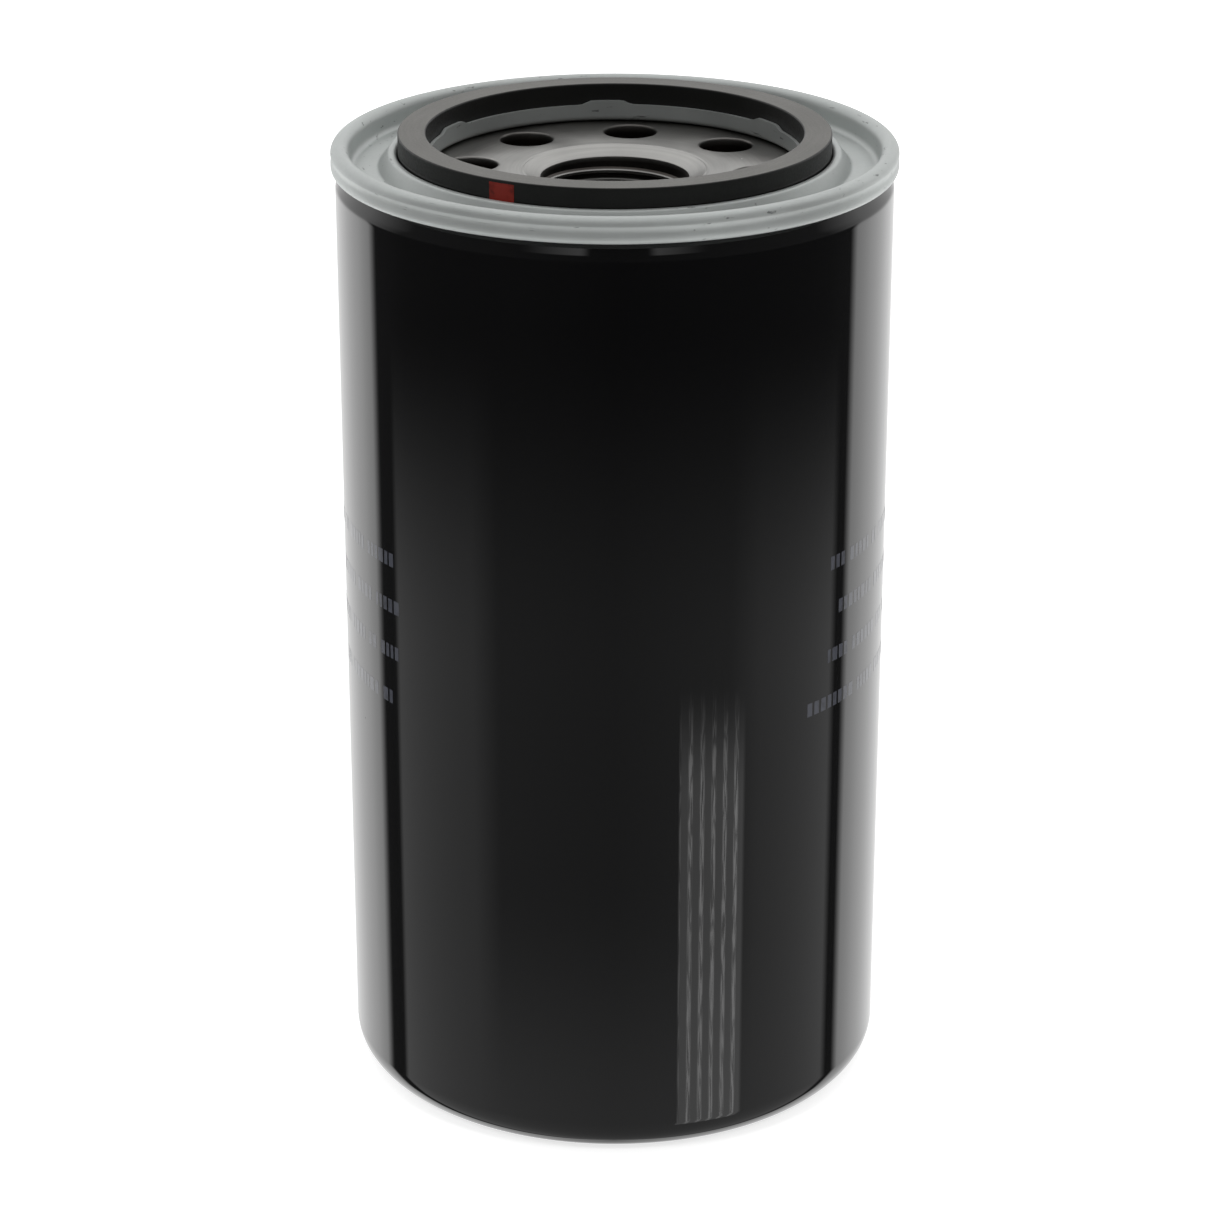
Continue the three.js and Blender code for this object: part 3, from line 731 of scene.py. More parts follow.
class BuildLid(bpy.types.Operator):
    """Presses the seaming lid: its tabbed lip, gasket channel, hump and rolled double seam"""
    bl_idname = "oil_filter.build_lid"
    bl_label = "Seaming lid"

    def execute(self, context):
        can, lid = context.scene.filter_can, context.scene.filter_lid
        seam = Seam(can, lid)
        half = lid.sheet / 2
        floor = head("tapping_plate") + lid.play + half
        channel = reach("sealing_gasket") + 0.12 * MM + half
        lip = lid.lip_inside + half
        hump = floor + lid.hump_rise - half
        lip_low = seam.top - lid.lip_drop
        lip_top = lip_low + lid.tab_rise
        waist = [seam.bottom + share * lid.seam_depth for share in (0.68, 0.60, 0.42, 0.34)]
        sealant_foot = foot("seam_sealant")
        line = [
            (lip, lip_top),
            (lip, floor, 0.6 * MM),
            (channel, floor, 0.6 * MM),
            (channel, hump, 0.4 * MM),
            (channel + lid.hump_width, hump, 0.4 * MM),
            (channel + lid.hump_width + lid.hump_slope, floor, 1.0 * MM),
            (seam.chuck, floor, 1.3 * MM),
            (seam.chuck, seam.crest, 2 * seam.step - HAIR),
            (seam.skirt, seam.crest, 2 * seam.step - HAIR),
            *((seam.skirt, height) for height in waist),
            (seam.skirt, seam.bottom + half, seam.step - HAIR),
            (seam.lid_hook, seam.bottom + half, seam.step - HAIR),
            (seam.lid_hook, sealant_foot - 0.1 * MM),
        ]
        bm = turned(folded(line, lid.sheet), 240)
        outside = seam.skirt + half - 0.02 * MM
        for vert in bm.verts:
            across = hypot(vert.co.x, vert.co.y)
            if across > outside and waist[2] - HAIR < vert.co.z < waist[1] + HAIR:
                vert.co.xy *= (across - lid.waist) / across
            if across < lip + half + HAIR and vert.co.z > lip_top - SUPPORT - HAIR:
                vert.co.z -= lid.tab_rise * self.gap_share(vert.co, lid.tab_count)
        place_piece("lid_pressing", bm, finish("zinc"), "seaming_lid")
        return {"FINISHED"}

    @staticmethod
    def gap_share(place, tabs):
        """Nought on a tab of the lip and one between two tabs, with round shoulders."""
        pitch = 2 * pi / tabs
        turn = (azimuth(place) + radians(2.5) + pitch / 2) % pitch - pitch / 2
        share = min(1, max(0, (abs(turn) - radians(4.5)) / radians(4)))
        return share * share * (3 - 2 * share)


class BuildSealant(bpy.types.Operator):
    """Lays the ring of sealing compound inside the seam"""
    bl_idname = "oil_filter.build_sealant"
    bl_label = "Seam compound"

    def execute(self, context):
        low, high = foot("seam_sealant"), head("seam_sealant")
        outer = reach("seam_sealant")
        width, bead = 0.52 * MM, 0.12 * MM
        outline = block(outer - width, outer, low, high, bead)
        place_piece("seam_compound", turned(outline, 144), finish("sealant"), "seam_sealant")
        return {"FINISHED"}


class BuildGasket(bpy.types.Operator):
    """Moulds the square gasket, with its parting line and a dab of inspection paint"""
    bl_idname = "oil_filter.build_gasket"
    bl_label = "Gasket"

    def execute(self, context):
        gasket = context.scene.filter_gasket
        low, high = foot("sealing_gasket"), head("sealing_gasket")
        outer = reach("sealing_gasket")
        inner = outer - gasket.width
        edge = gasket.edge
        crown = edge / 2
        parting = low + 0.45 * (high - low)
        flash = 0.06 * MM
        outline = [
            (inner, low + edge, crown), (inner + edge, low, crown),
            (outer - edge, low, crown), (outer, low + edge, crown),
            (outer - flash, parting - 2 * flash), (outer, parting), (outer - flash, parting + 2 * flash),
            (outer, high, crown), (inner, high, crown),
        ]
        place_piece("gasket_ring", turned(outline, 192), finish("gasket"), "sealing_gasket")
        skin = outer + 0.015 * MM
        front_left = radians(210)
        dab_top = high - gasket.dab_drop
        bm = bmesh.new()
        bar(bm, skin, front_left, gasket.dab_width, dab_top - gasket.dab_height, dab_top)
        bmesh.ops.recalc_face_normals(bm, faces=bm.faces[:])
        dab = place_piece("gasket_dab", bm, finish("dab"), "sealing_gasket", stands_for=False)
        give_wall(dab, 0.02 * MM)
        return {"FINISHED"}


class BuildPlate(bpy.types.Operator):
    """Punches the threaded plate: rim, rolled inlets, hub with its lead-in cone and a real thread"""
    bl_idname = "oil_filter.build_plate"
    bl_label = "Threaded plate"

    ROUND = 16
    DEEP = 8

    def execute(self, context):
        plate = context.scene.filter_plate
        top, rim = head("tapping_plate"), reach("tapping_plate")
        bottom = top - plate.thickness
        hub_foot = foot("tapping_plate")
        inner = plate.inlet_circle - plate.inlet_radius - plate.land
        outer = plate.inlet_circle + plate.inlet_radius + plate.land
        root = plate.thread_radius + plate.thread_depth
        ring, groove = plate.ring_radius, plate.ring_depth
        bm = bmesh.new()
        steps = self.ROUND * plate.inlet_count
        hub = [
            (inner, top), (ring + 0.25 * MM, top, 0.1 * MM), (ring, top - groove, 0.1 * MM),
            (plate.entry_radius, top - 0.02 * MM, 0.1 * MM),
            (root, top - plate.entry_drop * (plate.entry_radius - root)
             / (plate.entry_radius - plate.thread_radius), 0.1 * MM),
            (root, hub_foot, 0.2 * MM), (plate.hub_radius, hub_foot, 0.3 * MM),
            (plate.hub_radius, bottom, 1.2 * MM), (inner, bottom),
        ]
        edge = [(outer, top), (rim, top, plate.edge), (rim, bottom, plate.edge), (outer, bottom)]
        for outline in (hub, edge):
            self.draw_open(bm, outline)
        spin_round(bm, steps)
        cell = bmesh.new()
        self.pierce(cell, plate, top, bottom, inner, outer)
        sector = bpy.data.meshes.new("sector")
        for _ in range(plate.inlet_count):
            bmesh.ops.rotate(cell, verts=cell.verts[:], cent=(0, 0, 0),
                             matrix=Matrix.Rotation(2 * pi / plate.inlet_count, 3, "Z"))
            cell.to_mesh(sector)
            bm.from_mesh(sector)
        cell.free()
        bpy.data.meshes.remove(sector)
        bmesh.ops.remove_doubles(bm, verts=bm.verts[:], dist=0.02 * MM)
        bmesh.ops.rotate(bm, verts=bm.verts[:], cent=(0, 0, 0),
                         matrix=Matrix.Rotation(plate.turn, 3, "Z"))
        place_piece("threaded_plate", bm, finish("steel"), "tapping_plate", sharp=radians(35))
        self.cut_thread(plate, hub_foot, root)
        return {"FINISHED"}

    @staticmethod
    def draw_open(bm, outline):
        """Draws an outline whose two ends stay open."""
        scratch = bmesh.new()
        draw(scratch, outline)
        ends = [(outline[0][0], outline[0][1]), (outline[-1][0], outline[-1][1])]
        points = {vert: bm.verts.new(vert.co) for vert in scratch.verts}
        for part in scratch.edges:
            on_join = all(abs(vert.co.x - ends[0][0]) < HAIR for vert in part.verts)
            if not on_join:
                bm.edges.new([points[vert] for vert in part.verts])
        for point in [point for point in points.values() if not point.link_edges]:
            bm.verts.remove(point)
        scratch.free()

    def pierce(self, bm, plate, top, bottom, inner, outer):
        """One sector of the plate round one inlet: both faces and the rolled wall of the hole."""
        half_turn = pi / plate.inlet_count
        cuts = 2 * (self.ROUND + self.DEEP)
        middle = (inner + outer) / 2
        roll = plate.inlet_roll
        centre = Vector((0, plate.inlet_circle, 0))
        loops = []
        for height in (top, bottom):
            verts = frame_loop(bm, 1, (outer - inner) / 2, self.ROUND - 1, self.DEEP - 1)
            for vert in verts:
                across, where = middle + vert.co.y, vert.co.x * half_turn
                vert.co = (across * sin(where), across * cos(where), height)
            loops.append(loop_edges(verts))
        hole = []
        for share in range(5):
            angle = share * pi / 8
            radius = plate.inlet_radius + roll * (1 - sin(angle))
            hole.append((radius, top - roll * (1 - cos(angle))))
        hole += [(plate.inlet_radius, bottom + 0.15 * MM), (plate.inlet_radius + 0.15 * MM, bottom)]
        walls = []
        for radius, height in hole:
            walls.append(loop_edges(circle(bm, centre + Vector((0, 0, height)), radius, cuts)))
        chain = [loops[0], *walls, loops[1]]
        for first, second in zip(chain, chain[1:]):
            bridge(bm, first, second)

    @staticmethod
    def cut_thread(plate, low, root):
        """The thread's ridge, wound up the hub's bore, with both ends run out into the wall."""
        bm = bmesh.new()
        per_turn = 96
        crest, base = plate.thread_pitch / 8, 0.44 * plate.thread_pitch
        start = low + 1.3 * MM
        turns = int((head("tapping_plate") - plate.entry_drop - 0.4 * MM - start) / plate.thread_pitch)
        buried = root + 0.05 * MM
        section = [(buried, -base), (plate.thread_radius, -crest),
                   (plate.thread_radius, crest), (buried, base)]
        verts = [bm.verts.new((radius, 0, start + height)) for radius, height in section]
        edges = [bm.edges.new(pair) for pair in zip(verts, verts[1:] + verts[:1])]
        rise = plate.thread_pitch / per_turn
        wound = bmesh.ops.spin(bm, geom=verts + edges, cent=(0, 0, 0), axis=(0, 0, 1),
                               dvec=(0, 0, rise), angle=2 * pi * turns, steps=per_turn * turns)
        last = [part for part in wound["geom_last"] if isinstance(part, bmesh.types.BMVert)]
        for end in (verts, last):
            for vert in end:
                vert.co.xy *= buried / hypot(vert.co.x, vert.co.y)
            rim = [edge for edge in loop_edges(end) if len(edge.link_faces) == 1]
            bmesh.ops.holes_fill(bm, edges=rim, sides=0)
        thread = place_piece("hub_thread", bm, finish("steel"), "tapping_plate", stands_for=False,
                             sharp=radians(35))


class BuildDrainValve(bpy.types.Operator):
    """Moulds the anti-drain valve: its sleeve on the hub and the flap that closes the inlets"""
    bl_idname = "oil_filter.build_drain_valve"
    bl_label = "Anti-drain valve"

    def execute(self, context):
        low, high = foot("anti_drain_valve"), head("anti_drain_valve")
        outer = reach("anti_drain_valve")
        inner = context.scene.filter_plate.hub_radius + 0.3 * MM
        sleeve = inner + 3.0 * MM
        flap = 1.3 * MM
        lip = outer - 3.0 * MM
        root = low + 4.0 * MM
        outline = [
            (inner, low, 0.4 * MM), (sleeve, low, 0.4 * MM), (sleeve, root, 1.2 * MM),
            (lip, high - flap, 1.5 * MM), (outer, high - flap, 0.4 * MM), (outer, high, 0.25 * MM),
            (lip, high, 1.5 * MM), (sleeve, root + flap, 1.2 * MM), (inner, root + 1.5 * flap, 0.3 * MM),
        ]
        place_piece("drain_valve_rubber", turned(outline, 128), finish("valve"), "anti_drain_valve")
        return {"FINISHED"}


class BuildEndCaps(bpy.types.Operator):
    """Presses the element's two end caps"""
    bl_idname = "oil_filter.build_end_caps"
    bl_label = "End caps"

    def execute(self, context):
        element = context.scene.filter_element
        half = element.cap_sheet / 2
        rim = reach("top_end_cap") - half
        neck = element.neck_radius + half
        top = head("top_end_cap") - half
        ledge = foot("top_end_cap") + half
        line = [
            (element.neck_radius - 0.3 * MM - element.seal_width, ledge),
            (neck, ledge, 0.6 * MM), (neck, top, 0.8 * MM), (rim, top, 0.8 * MM),
            (rim, head("top_end_cap") - element.cap_rim),
        ]
        place_piece("top_cap", turned(folded(line, element.cap_sheet), 144), finish("zinc"), "top_end_cap")
        base = foot("bottom_end_cap") + half
        line = [(element.valve_hole, base), (rim, base, 0.8 * MM), (rim, head("bottom_end_cap"))]
        place_piece("bottom_cap", turned(folded(line, element.cap_sheet), 144), finish("zinc"),
                    "bottom_end_cap")
        return {"FINISHED"}


class BuildAdhesive(bpy.types.Operator):
    """Pours the adhesive that pots the paper into both end caps"""
    bl_idname = "oil_filter.build_adhesive"
    bl_label = "Potting adhesive"

    def execute(self, context):
        element = context.scene.filter_element
        inner = element.neck_radius + element.cap_sheet + 0.3 * MM
        for node, name in (("top_potting", "top_adhesive"), ("bottom_potting", "bottom_adhesive")):
            low, high, outer = foot(node), head(node), reach(node)
            outside, inside = 0.8 * MM, 0.3 * MM
            below, above = (inside, outside) if node == "top_potting" else (outside, inside)
            place_piece(name, turned(block(inner, outer, low, high, below, above), 128), finish("glue"), node)
        return {"FINISHED"}


class BuildTube(bpy.types.Operator):
    """Rolls the centre tube from a sheet pierced with staggered holes"""
    bl_idname = "oil_filter.build_tube"
    bl_label = "Centre tube"

    ROUND = 12
    HIGH = 8

    def execute(self, context):
        element = context.scene.filter_element
        low, high = foot("centre_tube"), head("centre_tube")
        outer = reach("centre_tube")
        skin = outer - element.tube_wall / 2
        cell = 2 * pi * skin / element.holes_round
        pitch = (high - low - 2 * element.hole_margin) / (element.hole_rows - 1)
        bm = bmesh.new()
        cuts = 2 * (self.ROUND + self.HIGH)
        for row in range(element.hole_rows):
            height = low + element.hole_margin + row * pitch
            for hole in range(element.holes_round):
                edge = frame_loop(bm, cell / 2, pitch / 2, self.ROUND - 1, self.HIGH - 1)
                rim = circle(bm, (0, 0, 0), element.hole_radius, cuts)
                bridge(bm, loop_edges(edge), loop_edges(rim))
                middle = (hole + (row % 2) / 2) * 2 * pi / element.holes_round
                for vert in edge + rim:
                    turn = middle + vert.co.x / skin
                    vert.co = (skin * sin(turn), skin * cos(turn), vert.co.y + height)
        bmesh.ops.remove_doubles(bm, verts=bm.verts[:], dist=0.01 * MM)
        for vert in bm.verts:
            if vert.co.z < low + element.hole_margin - pitch / 2 + HAIR:
                vert.co.z = low
            elif vert.co.z > high - element.hole_margin + pitch / 2 - HAIR:
                vert.co.z = high
        tube = place_piece("perforated_tube", bm, finish("zinc"), "centre_tube")
        give_wall(tube, element.tube_wall)
        return {"FINISHED"}


class BuildPaper(bpy.types.Operator):
    """Folds the pleated paper, and the clip that closes its seam"""
    bl_idname = "oil_filter.build_paper"
    bl_label = "Pleated paper"

    def execute(self, context):
        element = context.scene.filter_element
        low, high = foot("pleated_media"), head("pleated_media")
        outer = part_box("pleated_media")[1].x
        tip = outer - element.paper / 2
        valley = element.neck_radius + element.cap_sheet + 0.6 * MM + element.paper / 2
        seam_short = element.clip_sheet + 0.3 * MM
        bm = bmesh.new()
        points = []
        for pleat in range(element.pleats):
            middle = pleat * 2 * pi / element.pleats
            crest = tip - (seam_short if pleat == 0 else 0)
            tip_turn = element.tip / crest
            valley_turn = pi / element.pleats - element.tip / valley
            for radius, turn in ((valley, -valley_turn), (crest, -tip_turn),
                                 (crest, tip_turn), (valley, valley_turn)):
                points.append(bm.verts.new((radius * sin(middle + turn), radius * cos(middle + turn), low)))
        for pair in zip(points, points[1:] + points[:1]):
            bm.edges.new(pair)
        bmesh.ops.bevel(bm, geom=bm.verts[:], affect="VERTICES", offset=0.4 * MM, segments=2,
                        profile=0.5, material=-1)
        bands = 10
        edges = bm.edges[:]
        for _ in range(bands):
            made = bmesh.ops.extrude_edge_only(bm, edges=edges)["geom"]
            raised = [part for part in made if isinstance(part, bmesh.types.BMVert)]
            bmesh.ops.translate(bm, verts=raised, vec=(0, 0, (high - low) / bands))
            edges = [part for part in made if isinstance(part, bmesh.types.BMEdge)
                     and all(vert in raised for vert in part.verts)]
        for vert in bm.verts:
            slack = sin(pi * (vert.co.z - low) / (high - low))
            across = hypot(vert.co.x, vert.co.y)
            if across < tip - 2 * MM:
                sway = 0.12 * MM * slack * noise.noise(vert.co * 60)
                vert.co.x += sway * vert.co.y / across
                vert.co.y -= sway * vert.co.x / across
        paper = place_piece("paper_pleats", bm, finish("paper"), "pleated_media", sharp=radians(60))
        give_wall(paper, element.paper)

        clip_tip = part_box("media_seam_clip")[1].y - element.clip_sheet / 2
        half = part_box("media_seam_clip")[1].x - element.clip_sheet / 2
        clip_foot = clip_tip - element.clip_depth
        bm = bmesh.new()
        corners = [bm.verts.new((x, y, foot("media_seam_clip"))) for x, y in
                   ((-half, clip_foot), (-half, clip_tip), (half, clip_tip), (half, clip_foot))]
        for pair in zip(corners, corners[1:]):
            bm.edges.new(pair)
        bmesh.ops.bevel(bm, geom=corners[1:3], affect="VERTICES", offset=0.5 * MM, segments=5,
                        profile=0.5, material=-1)
        made = bmesh.ops.extrude_edge_only(bm, edges=bm.edges[:])["geom"]
        raised = [part for part in made if isinstance(part, bmesh.types.BMVert)]
        bmesh.ops.translate(bm, verts=raised, vec=(0, 0, head("media_seam_clip") - foot("media_seam_clip")))
        clip = place_piece("seam_clip", bm, finish("zinc"), "media_seam_clip")
        give_wall(clip, element.clip_sheet)
        return {"FINISHED"}


class BuildElementSeal(bpy.types.Operator):
    """Moulds the seal between the hub and the element"""
    bl_idname = "oil_filter.build_element_seal"
    bl_label = "Element seal"

    def execute(self, context):
        low, high, outer = foot("element_seal"), head("element_seal"), reach("element_seal")
        inner = outer - context.scene.filter_element.seal_width
        place_piece("element_seal_ring", turned(block(inner, outer, low, high, 0.35 * MM)), finish("seal"),
                    "element_seal")
        return {"FINISHED"}


class BuildBypassValve(bpy.types.Operator):
    """Makes the bypass valve's seat, cage, disc, seal and pin"""
    bl_idname = "oil_filter.build_bypass_valve"
    bl_label = "Bypass valve"

    STEPS = 128

    def execute(self, context):
        valve = context.scene.filter_bypass
        self.make_seat(valve)
        self.make_cage(valve)
        hole = valve.pin_radius + valve.pin_play
        low, high, rim = foot("bypass_valve_plate"), head("bypass_valve_plate"), reach("bypass_valve_plate")
        dish = rim - valve.disc_rim
        web = high - valve.disc_rim
        disc = [(hole, low, 0.1 * MM), (rim, low, 0.4 * MM), (rim, high, 0.25 * MM), (dish, high, 0.2 * MM),
                (dish, web, 0.3 * MM), (hole, web, 0.1 * MM)]
        place_piece("bypass_disc", turned(disc), finish("steel"), "bypass_valve_plate")
        low, high, rim = foot("bypass_valve_seal"), head("bypass_valve_seal"), reach("bypass_valve_seal")
        place_piece("bypass_disc_seal", turned(block(hole, rim, low, high, 0.2 * MM)), finish("seal"),
                    "bypass_valve_seal")
        self.make_pin(valve)
        return {"FINISHED"}

    @staticmethod
    def make_seat(valve):
        low, high, outer = foot("bypass_valve_seat"), head("bypass_valve_seat"), reach("bypass_valve_seat")
        inner = valve.seat_radius
        face = low + valve.seat_sheet
        seat = [(inner, low, 0.3 * MM), (outer, low, 0.2 * MM), (outer, face, 0.2 * MM),
                (inner + 2 * valve.nozzle_width, face, 0.5 * MM),
                (inner + valve.nozzle_width, high, 0.2 * MM), (inner, high, 0.2 * MM)]
        place_piece("bypass_seat", turned(seat, 128), finish("zinc"), "bypass_valve_seat")

    def make_cage(self, valve):
        half = valve.cage_sheet / 2
        low, high = foot("bypass_valve_cage"), head("bypass_valve_cage")
        outer = reach("bypass_valve_cage")
        wall = valve.cage_radius - half
        middle = (low + high) / 2 + 1 * MM
        sill, lintel = middle - valve.window_height / 2, middle + valve.window_height / 2
        line = [(valve.pin_radius + valve.pin_play, high - half), (wall, high - half, 1.2 * MM),
                (wall, lintel), (wall, sill), (wall, low + half, 0.6 * MM), (outer, low + half)]
        bm = turned(folded(line, valve.cage_sheet), self.STEPS)
        pitch = 2 * pi / valve.window_count
        glass = []
        for face in bm.faces:
            place = face.calc_center_median()
            turn = azimuth(place) % pitch - pitch / 2
            flat = hypot(place.x, place.y) > wall - 2 * half
            if flat and sill < place.z < lintel and abs(turn) < radians(28):
                glass.append(face)
        bmesh.ops.delete(bm, geom=glass, context="FACES")
        open_edges = [edge for edge in bm.edges if edge.is_boundary]
        for window in range(valve.window_count):
            centre = (window + 0.5) * pitch
            near = [edge for edge in open_edges
                    if abs((azimuth((edge.verts[0].co + edge.verts[1].co) / 2) - centre + pi) % (2 * pi)
                           - pi) < pitch / 2]
            bridge(bm, near, [])
        place_piece("bypass_cage", bm, finish("zinc"), "bypass_valve_cage")

    @staticmethod
    def make_pin(valve):
        low, high = foot("bypass_valve_stem"), head("bypass_valve_stem")
        radius = valve.pin_radius
        head_radius = reach("bypass_valve_stem")
        collar = head("bypass_valve_plate") - valve.disc_rim + 0.1 * MM
        pin = [(0, low), (head_radius, low, 0.3 * MM), (head_radius, low + 1 * MM, 0.25 * MM),
               (radius, low + 1 * MM, 0.2 * MM), (radius, collar), (1.7 * radius, collar, 0.2 * MM),
               (1.3 * radius, collar + 0.9 * MM, 0.2 * MM), (radius, collar + 0.9 * MM),
               (radius, high - 0.6 * MM, 0.15 * MM), (radius - 0.6 * MM, high, 0.15 * MM), (0, high)]
        place_piece("bypass_pin", turned(pin, 64), finish("steel"), "bypass_valve_stem")


def wind(bm, radius, low, high, turns, wire):
    """Winds a compression spring with one close turn at each end."""
    per_turn, sides = 48, 12
    start = low + wire
    close_rise = 2.1 * wire
    working_rise = (high - wire - start - 2 * close_rise) / (turns - 2)
    ring = circle(bm, (radius, 0, start), wire, sides, Matrix.Rotation(pi / 2, 4, "X"))
    geom = ring + loop_edges(ring)
    ends = [ring]
    for turn in range(turns):
        rise = close_rise if turn in (0, turns - 1) else working_rise
        wound = bmesh.ops.spin(bm, geom=geom, cent=(0, 0, 0), axis=(0, 0, 1),
                               dvec=(0, 0, rise / per_turn), angle=2 * pi, steps=per_turn)
        geom = wound["geom_last"]
    ends.append([part for part in geom if isinstance(part, bmesh.types.BMVert)])
    for end in ends:
        rim = [edge for edge in loop_edges(end) if edge.is_boundary]
        bmesh.ops.holes_fill(bm, edges=rim, sides=0)


class BuildSprings(bpy.types.Operator):
    """Winds the element's support spring and the bypass valve's spring"""
    bl_idname = "oil_filter.build_springs"
    bl_label = "Springs"

    def execute(self, context):
        springs = context.scene.filter_springs
        coils = (
            ("support_coil", "support_spring", springs.support_wire, springs.support_turns,
             "element_float", foot("support_spring")),
            ("bypass_coil", "bypass_valve_spring", springs.bypass_wire, springs.bypass_turns,
             "bypass_valve_lift", head("bypass_valve_spring")),
        )
        for name, node, wire, turns, joint, fixed_end in coils:
            keep = 1 - TRAVEL_OF[joint] / (head(node) - foot(node))
            bm = bmesh.new()
            wind(bm, reach(node) - wire, foot(node), head(node), turns, wire)
            piece = place_piece(name, bm, finish("wire"), node, sharp=radians(60))
            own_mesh(piece)
        return {"FINISHED"}


# ---------------------------------------------------------------- stage

class BuildStage(bpy.types.Operator):
    """Sets the floor, the light and the camera"""
    bl_idname = "oil_filter.build_stage"
    bl_label = "Stage"

    def execute(self, context):
        stage = context.scene.filter_stage
        self.lay_floor(stage)
        self.light_room(context.scene)
        for side in (-1, 1):
            self.hang_softbox(side)
        camera = bpy.data.cameras.new("camera")
        camera.lens = stage.lens
        camera.sensor_width = 36
        camera.clip_start, camera.clip_end = 0.05, 50
        holder = bpy.data.objects.new("camera", camera)
        holder.location = (stage.sideways, -stage.distance, stage.height)
        holder.rotation_euler = (pi / 2 - stage.tilt, 0, 0)
        context.scene.collection.objects.link(holder)
        context.scene.camera = holder
        context.scene.view_settings.view_transform = "Standard"
        return {"FINISHED"}

    @staticmethod
    def lay_floor(stage):
        bm = bmesh.new()
        bmesh.ops.create_grid(bm, x_segments=1, y_segments=1, size=stage.floor_side / 2)
        mesh = bpy.data.meshes.new("floor")
        bm.to_mesh(mesh)
        bm.free()
        mesh.transform(Matrix.Translation((0, 0, -0.05 * MM)))
        recipe = Recipe("pale_floor", (0.86, 0.86, 0.86), 0.9)
        tone = recipe.mixed(recipe.grain(3, 3), (0.84, 0.84, 0.84), (0.88, 0.88, 0.88))
        recipe.set("Base Color", tone)
        recipe.set("Emission Color", (1, 1, 1, 1))
        recipe.set("Emission Strength", 0.75)
        mesh.materials.append(recipe.material)
        floor = bpy.data.objects.new("floor", mesh)
        floor.visible_glossy = False
        bpy.context.scene.collection.objects.link(floor)

    @staticmethod
    def hang_softbox(side):
        """A softbox high in front, to one side."""
        lamp = bpy.data.lights.new("softbox", "AREA")
        lamp.shape, lamp.size, lamp.size_y = "RECTANGLE", 0.35, 0.5
        lamp.energy = 5.0
        holder = bpy.data.objects.new("softbox", lamp)
        holder.location = (side * 0.9, -1.1, 1.5)
        aim = Vector((0, 0, 0.1)) - holder.location
        holder.rotation_euler = aim.to_track_quat("-Z", "Y").to_euler()
        holder.visible_camera = False
        holder.visible_glossy = False
        bpy.context.scene.collection.objects.link(holder)

    @staticmethod
    def light_room(scene):
        """A white tent with a dark room in front: its light is set by direction."""
        world = bpy.data.worlds.new("tent")
        scene.world = world
        world.use_nodes = True
        nodes = Nodes(world.node_tree)
        put, sums = nodes.put, nodes.sums
        background = world.node_tree.nodes["Background"]
        background.inputs["Color"].default_value = (1, 1, 1, 1)

        def band(angle, stops):
            """Brightness by angle, in degrees, through the given stops."""
            low, high = stops[0][0], stops[-1][0]
            share = put("MapRange", {"Value": angle, "From Min": radians(low), "From Max": radians(high)})
            ramp = put("ValToRGB", {"Fac": share.outputs["Result"]})
            brightest = max(value for _, value in stops)
            elements = ramp.color_ramp.elements
            for stop, _ in stops[1:-1]:
                elements.new((stop - low) / (high - low))
            for element, (_, value) in zip(elements, stops):
                element.color = (*(value / brightest,) * 3, 1)
            return sums("MULTIPLY", ramp.outputs["Color"], brightest)

        def swell(value, start, end):
            """Nought at the start and one at the end, with a soft change between them."""
            return put("MapRange", {"Value": value, "From Min": start, "From Max": end},
                       interpolation_type="SMOOTHSTEP").outputs["Result"]

        def fade(angle, start, end):
            """The same for an angle, with its start and end in degrees."""
            return swell(angle, radians(start), radians(end))

        def mix(share, first, second):
            return sums("MULTIPLY_ADD", share, sums("SUBTRACT", second, first), first)

        def patch(left, right, low, high, blur=4):
            """One inside a rectangle of directions, and nought outside it."""
            shares = [fade(angle, edge - inward * blur, edge + inward * blur)
                      for angle, edge, inward in ((side, left, 1), (side, right, -1),
                                                  (climb, low, 1), (climb, high, -1))]
            across, up = sums("MULTIPLY", *shares[:2]), sums("MULTIPLY", *shares[2:])
            return sums("MULTIPLY", across, up)

        way = put("SeparateXYZ", {"Vector": put("TexCoord").outputs["Generated"]}).outputs
        side = sums("ARCTAN2", way[0], sums("MULTIPLY", way[1], -1.0))
        climb = sums("ARCSINE", way[2])
        # Brightness round the filter: the white tent lies far behind it, and the dark room in front.
        far = [(-180, 1.0), (-168, 1.05), (-150, 1.45), (-130, 1.7), (-121, 1.55), (-116, 0.06), (-107, 0.06)]
        near = [(108, 0.06), (113, 0.06), (118, 1.5), (130, 1.6), (150, 1.45), (168, 1.1), (180, 1.0)]
        level = band(side, far + [(-96, 0.05), (-40, 0.05), (0, 0.03), (40, 0.04), (98, 0.05)] + near)
        lower = band(side, far + [(-104, 0.62), (-62, 0.5), (-50, 0.24), (0, 0.2), (50, 0.28),
                                  (64, 0.46), (104, 0.62)] + near)
        floor = band(side, far + [(-104, 0.72), (-40, 0.55), (0, 0.48), (40, 0.5), (104, 0.6)] + near)
        sky = band(side, [(-180, 1.1), (-120, 1.0), (-95, 0.14), (0, 0.06),
                          (95, 0.14), (120, 1.0), (180, 1.1)])
        # Brightness by height: level, then the floor's edge, the floor, the sky and the open top.
        light = mix(fade(climb, -17.5, -23), level, lower)
        light = mix(fade(climb, -26, -30.5), light, floor)
        light = mix(fade(climb, -14, -2), light, sky)
        light = mix(fade(climb, 48, 80), light, 0.9)
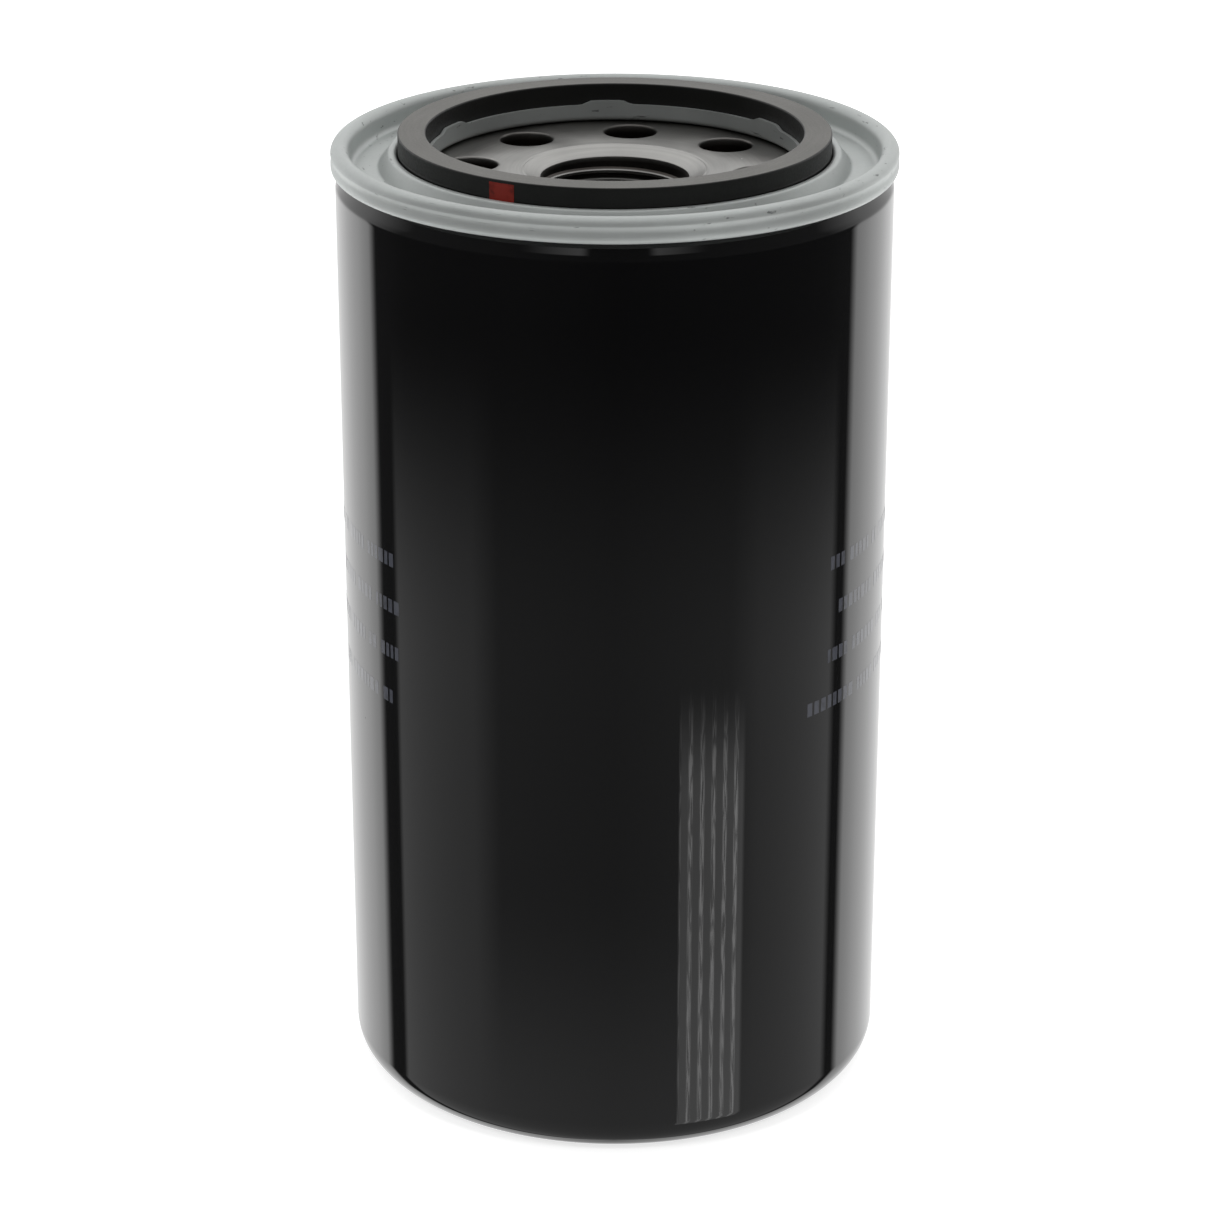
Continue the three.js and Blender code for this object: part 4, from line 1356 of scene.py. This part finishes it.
        # Two soft lamps for the can's neck, and a striped one low at the right.
        lamps = sums("ADD", patch(-62, -14, 42, 47, 3), patch(18, 60, 42, 48, 3))
        light = sums("MULTIPLY_ADD", lamps, 1.3, light)
        columns = sums("SINE", sums("MULTIPLY", side, 2 * pi / radians(5.2)))
        wander = put("TexNoise", {"Vector": put("CombineXYZ", {"X": side, "Y": climb}).outputs[0],
                                  "Scale": 60.0, "Detail": 2.0}).outputs["Fac"]
        dashes = sums("SINE", sums("MULTIPLY_ADD", climb, 2 * pi / radians(0.7),
                                   sums("MULTIPLY", wander, 24)))
        rows = sums("MULTIPLY", swell(columns, 0.0, 0.873), swell(dashes, -0.698, 0.524))
        strip = sums("MULTIPLY", patch(28, 57, -36, -24, 0.9), sums("MULTIPLY_ADD", rows, 2.2, 0.7))
        light = sums("ADD", light, strip)
        seen = put("LightPath").outputs["Is Camera Ray"]
        nodes.plug(background.inputs["Strength"], mix(seen, light, 1.0))


# ---------------------------------------------------------------- panel and registration

SETTINGS = {
    "filter_can": CanSettings,
    "filter_print": PrintSettings,
    "filter_lid": LidSettings,
    "filter_gasket": GasketSettings,
    "filter_plate": PlateSettings,
    "filter_element": ElementSettings,
    "filter_bypass": BypassSettings,
    "filter_springs": SpringSettings,
    "filter_stage": StageSettings,
}

OPERATORS = (BuildCan, BuildPrint, BuildLid, BuildSealant, BuildGasket, BuildPlate, BuildDrainValve,
             BuildEndCaps, BuildAdhesive, BuildTube, BuildPaper, BuildElementSeal, BuildBypassValve,
             BuildSprings, BuildStage)


class OilFilterPanel(bpy.types.Panel):
    """The filter's settings and the buttons that build its pieces"""
    bl_idname = "VIEW3D_PT_oil_filter"
    bl_label = "Oil Filter"
    bl_space_type = "VIEW_3D"
    bl_region_type = "UI"
    bl_category = "Oil Filter"

    def draw(self, context):
        for operator in OPERATORS:
            self.layout.operator(operator.bl_idname)
        for name, settings in SETTINGS.items():
            box = self.layout.box()
            for prop in settings.__annotations__:
                box.prop(getattr(context.scene, name), prop)


CLASSES = (*SETTINGS.values(), *OPERATORS, OilFilterPanel)


def register():
    for cls in CLASSES:
        bpy.utils.register_class(cls)
    for name, settings in SETTINGS.items():
        setattr(bpy.types.Scene, name, PointerProperty(type=settings))


def unregister():
    for name in SETTINGS:
        delattr(bpy.types.Scene, name)
    for cls in reversed(CLASSES):
        bpy.utils.unregister_class(cls)


def main():
    register()
    for operator in OPERATORS:
        group, name = operator.bl_idname.split(".")
        getattr(getattr(bpy.ops, group), name)()


if __name__ == "__main__":
    main()
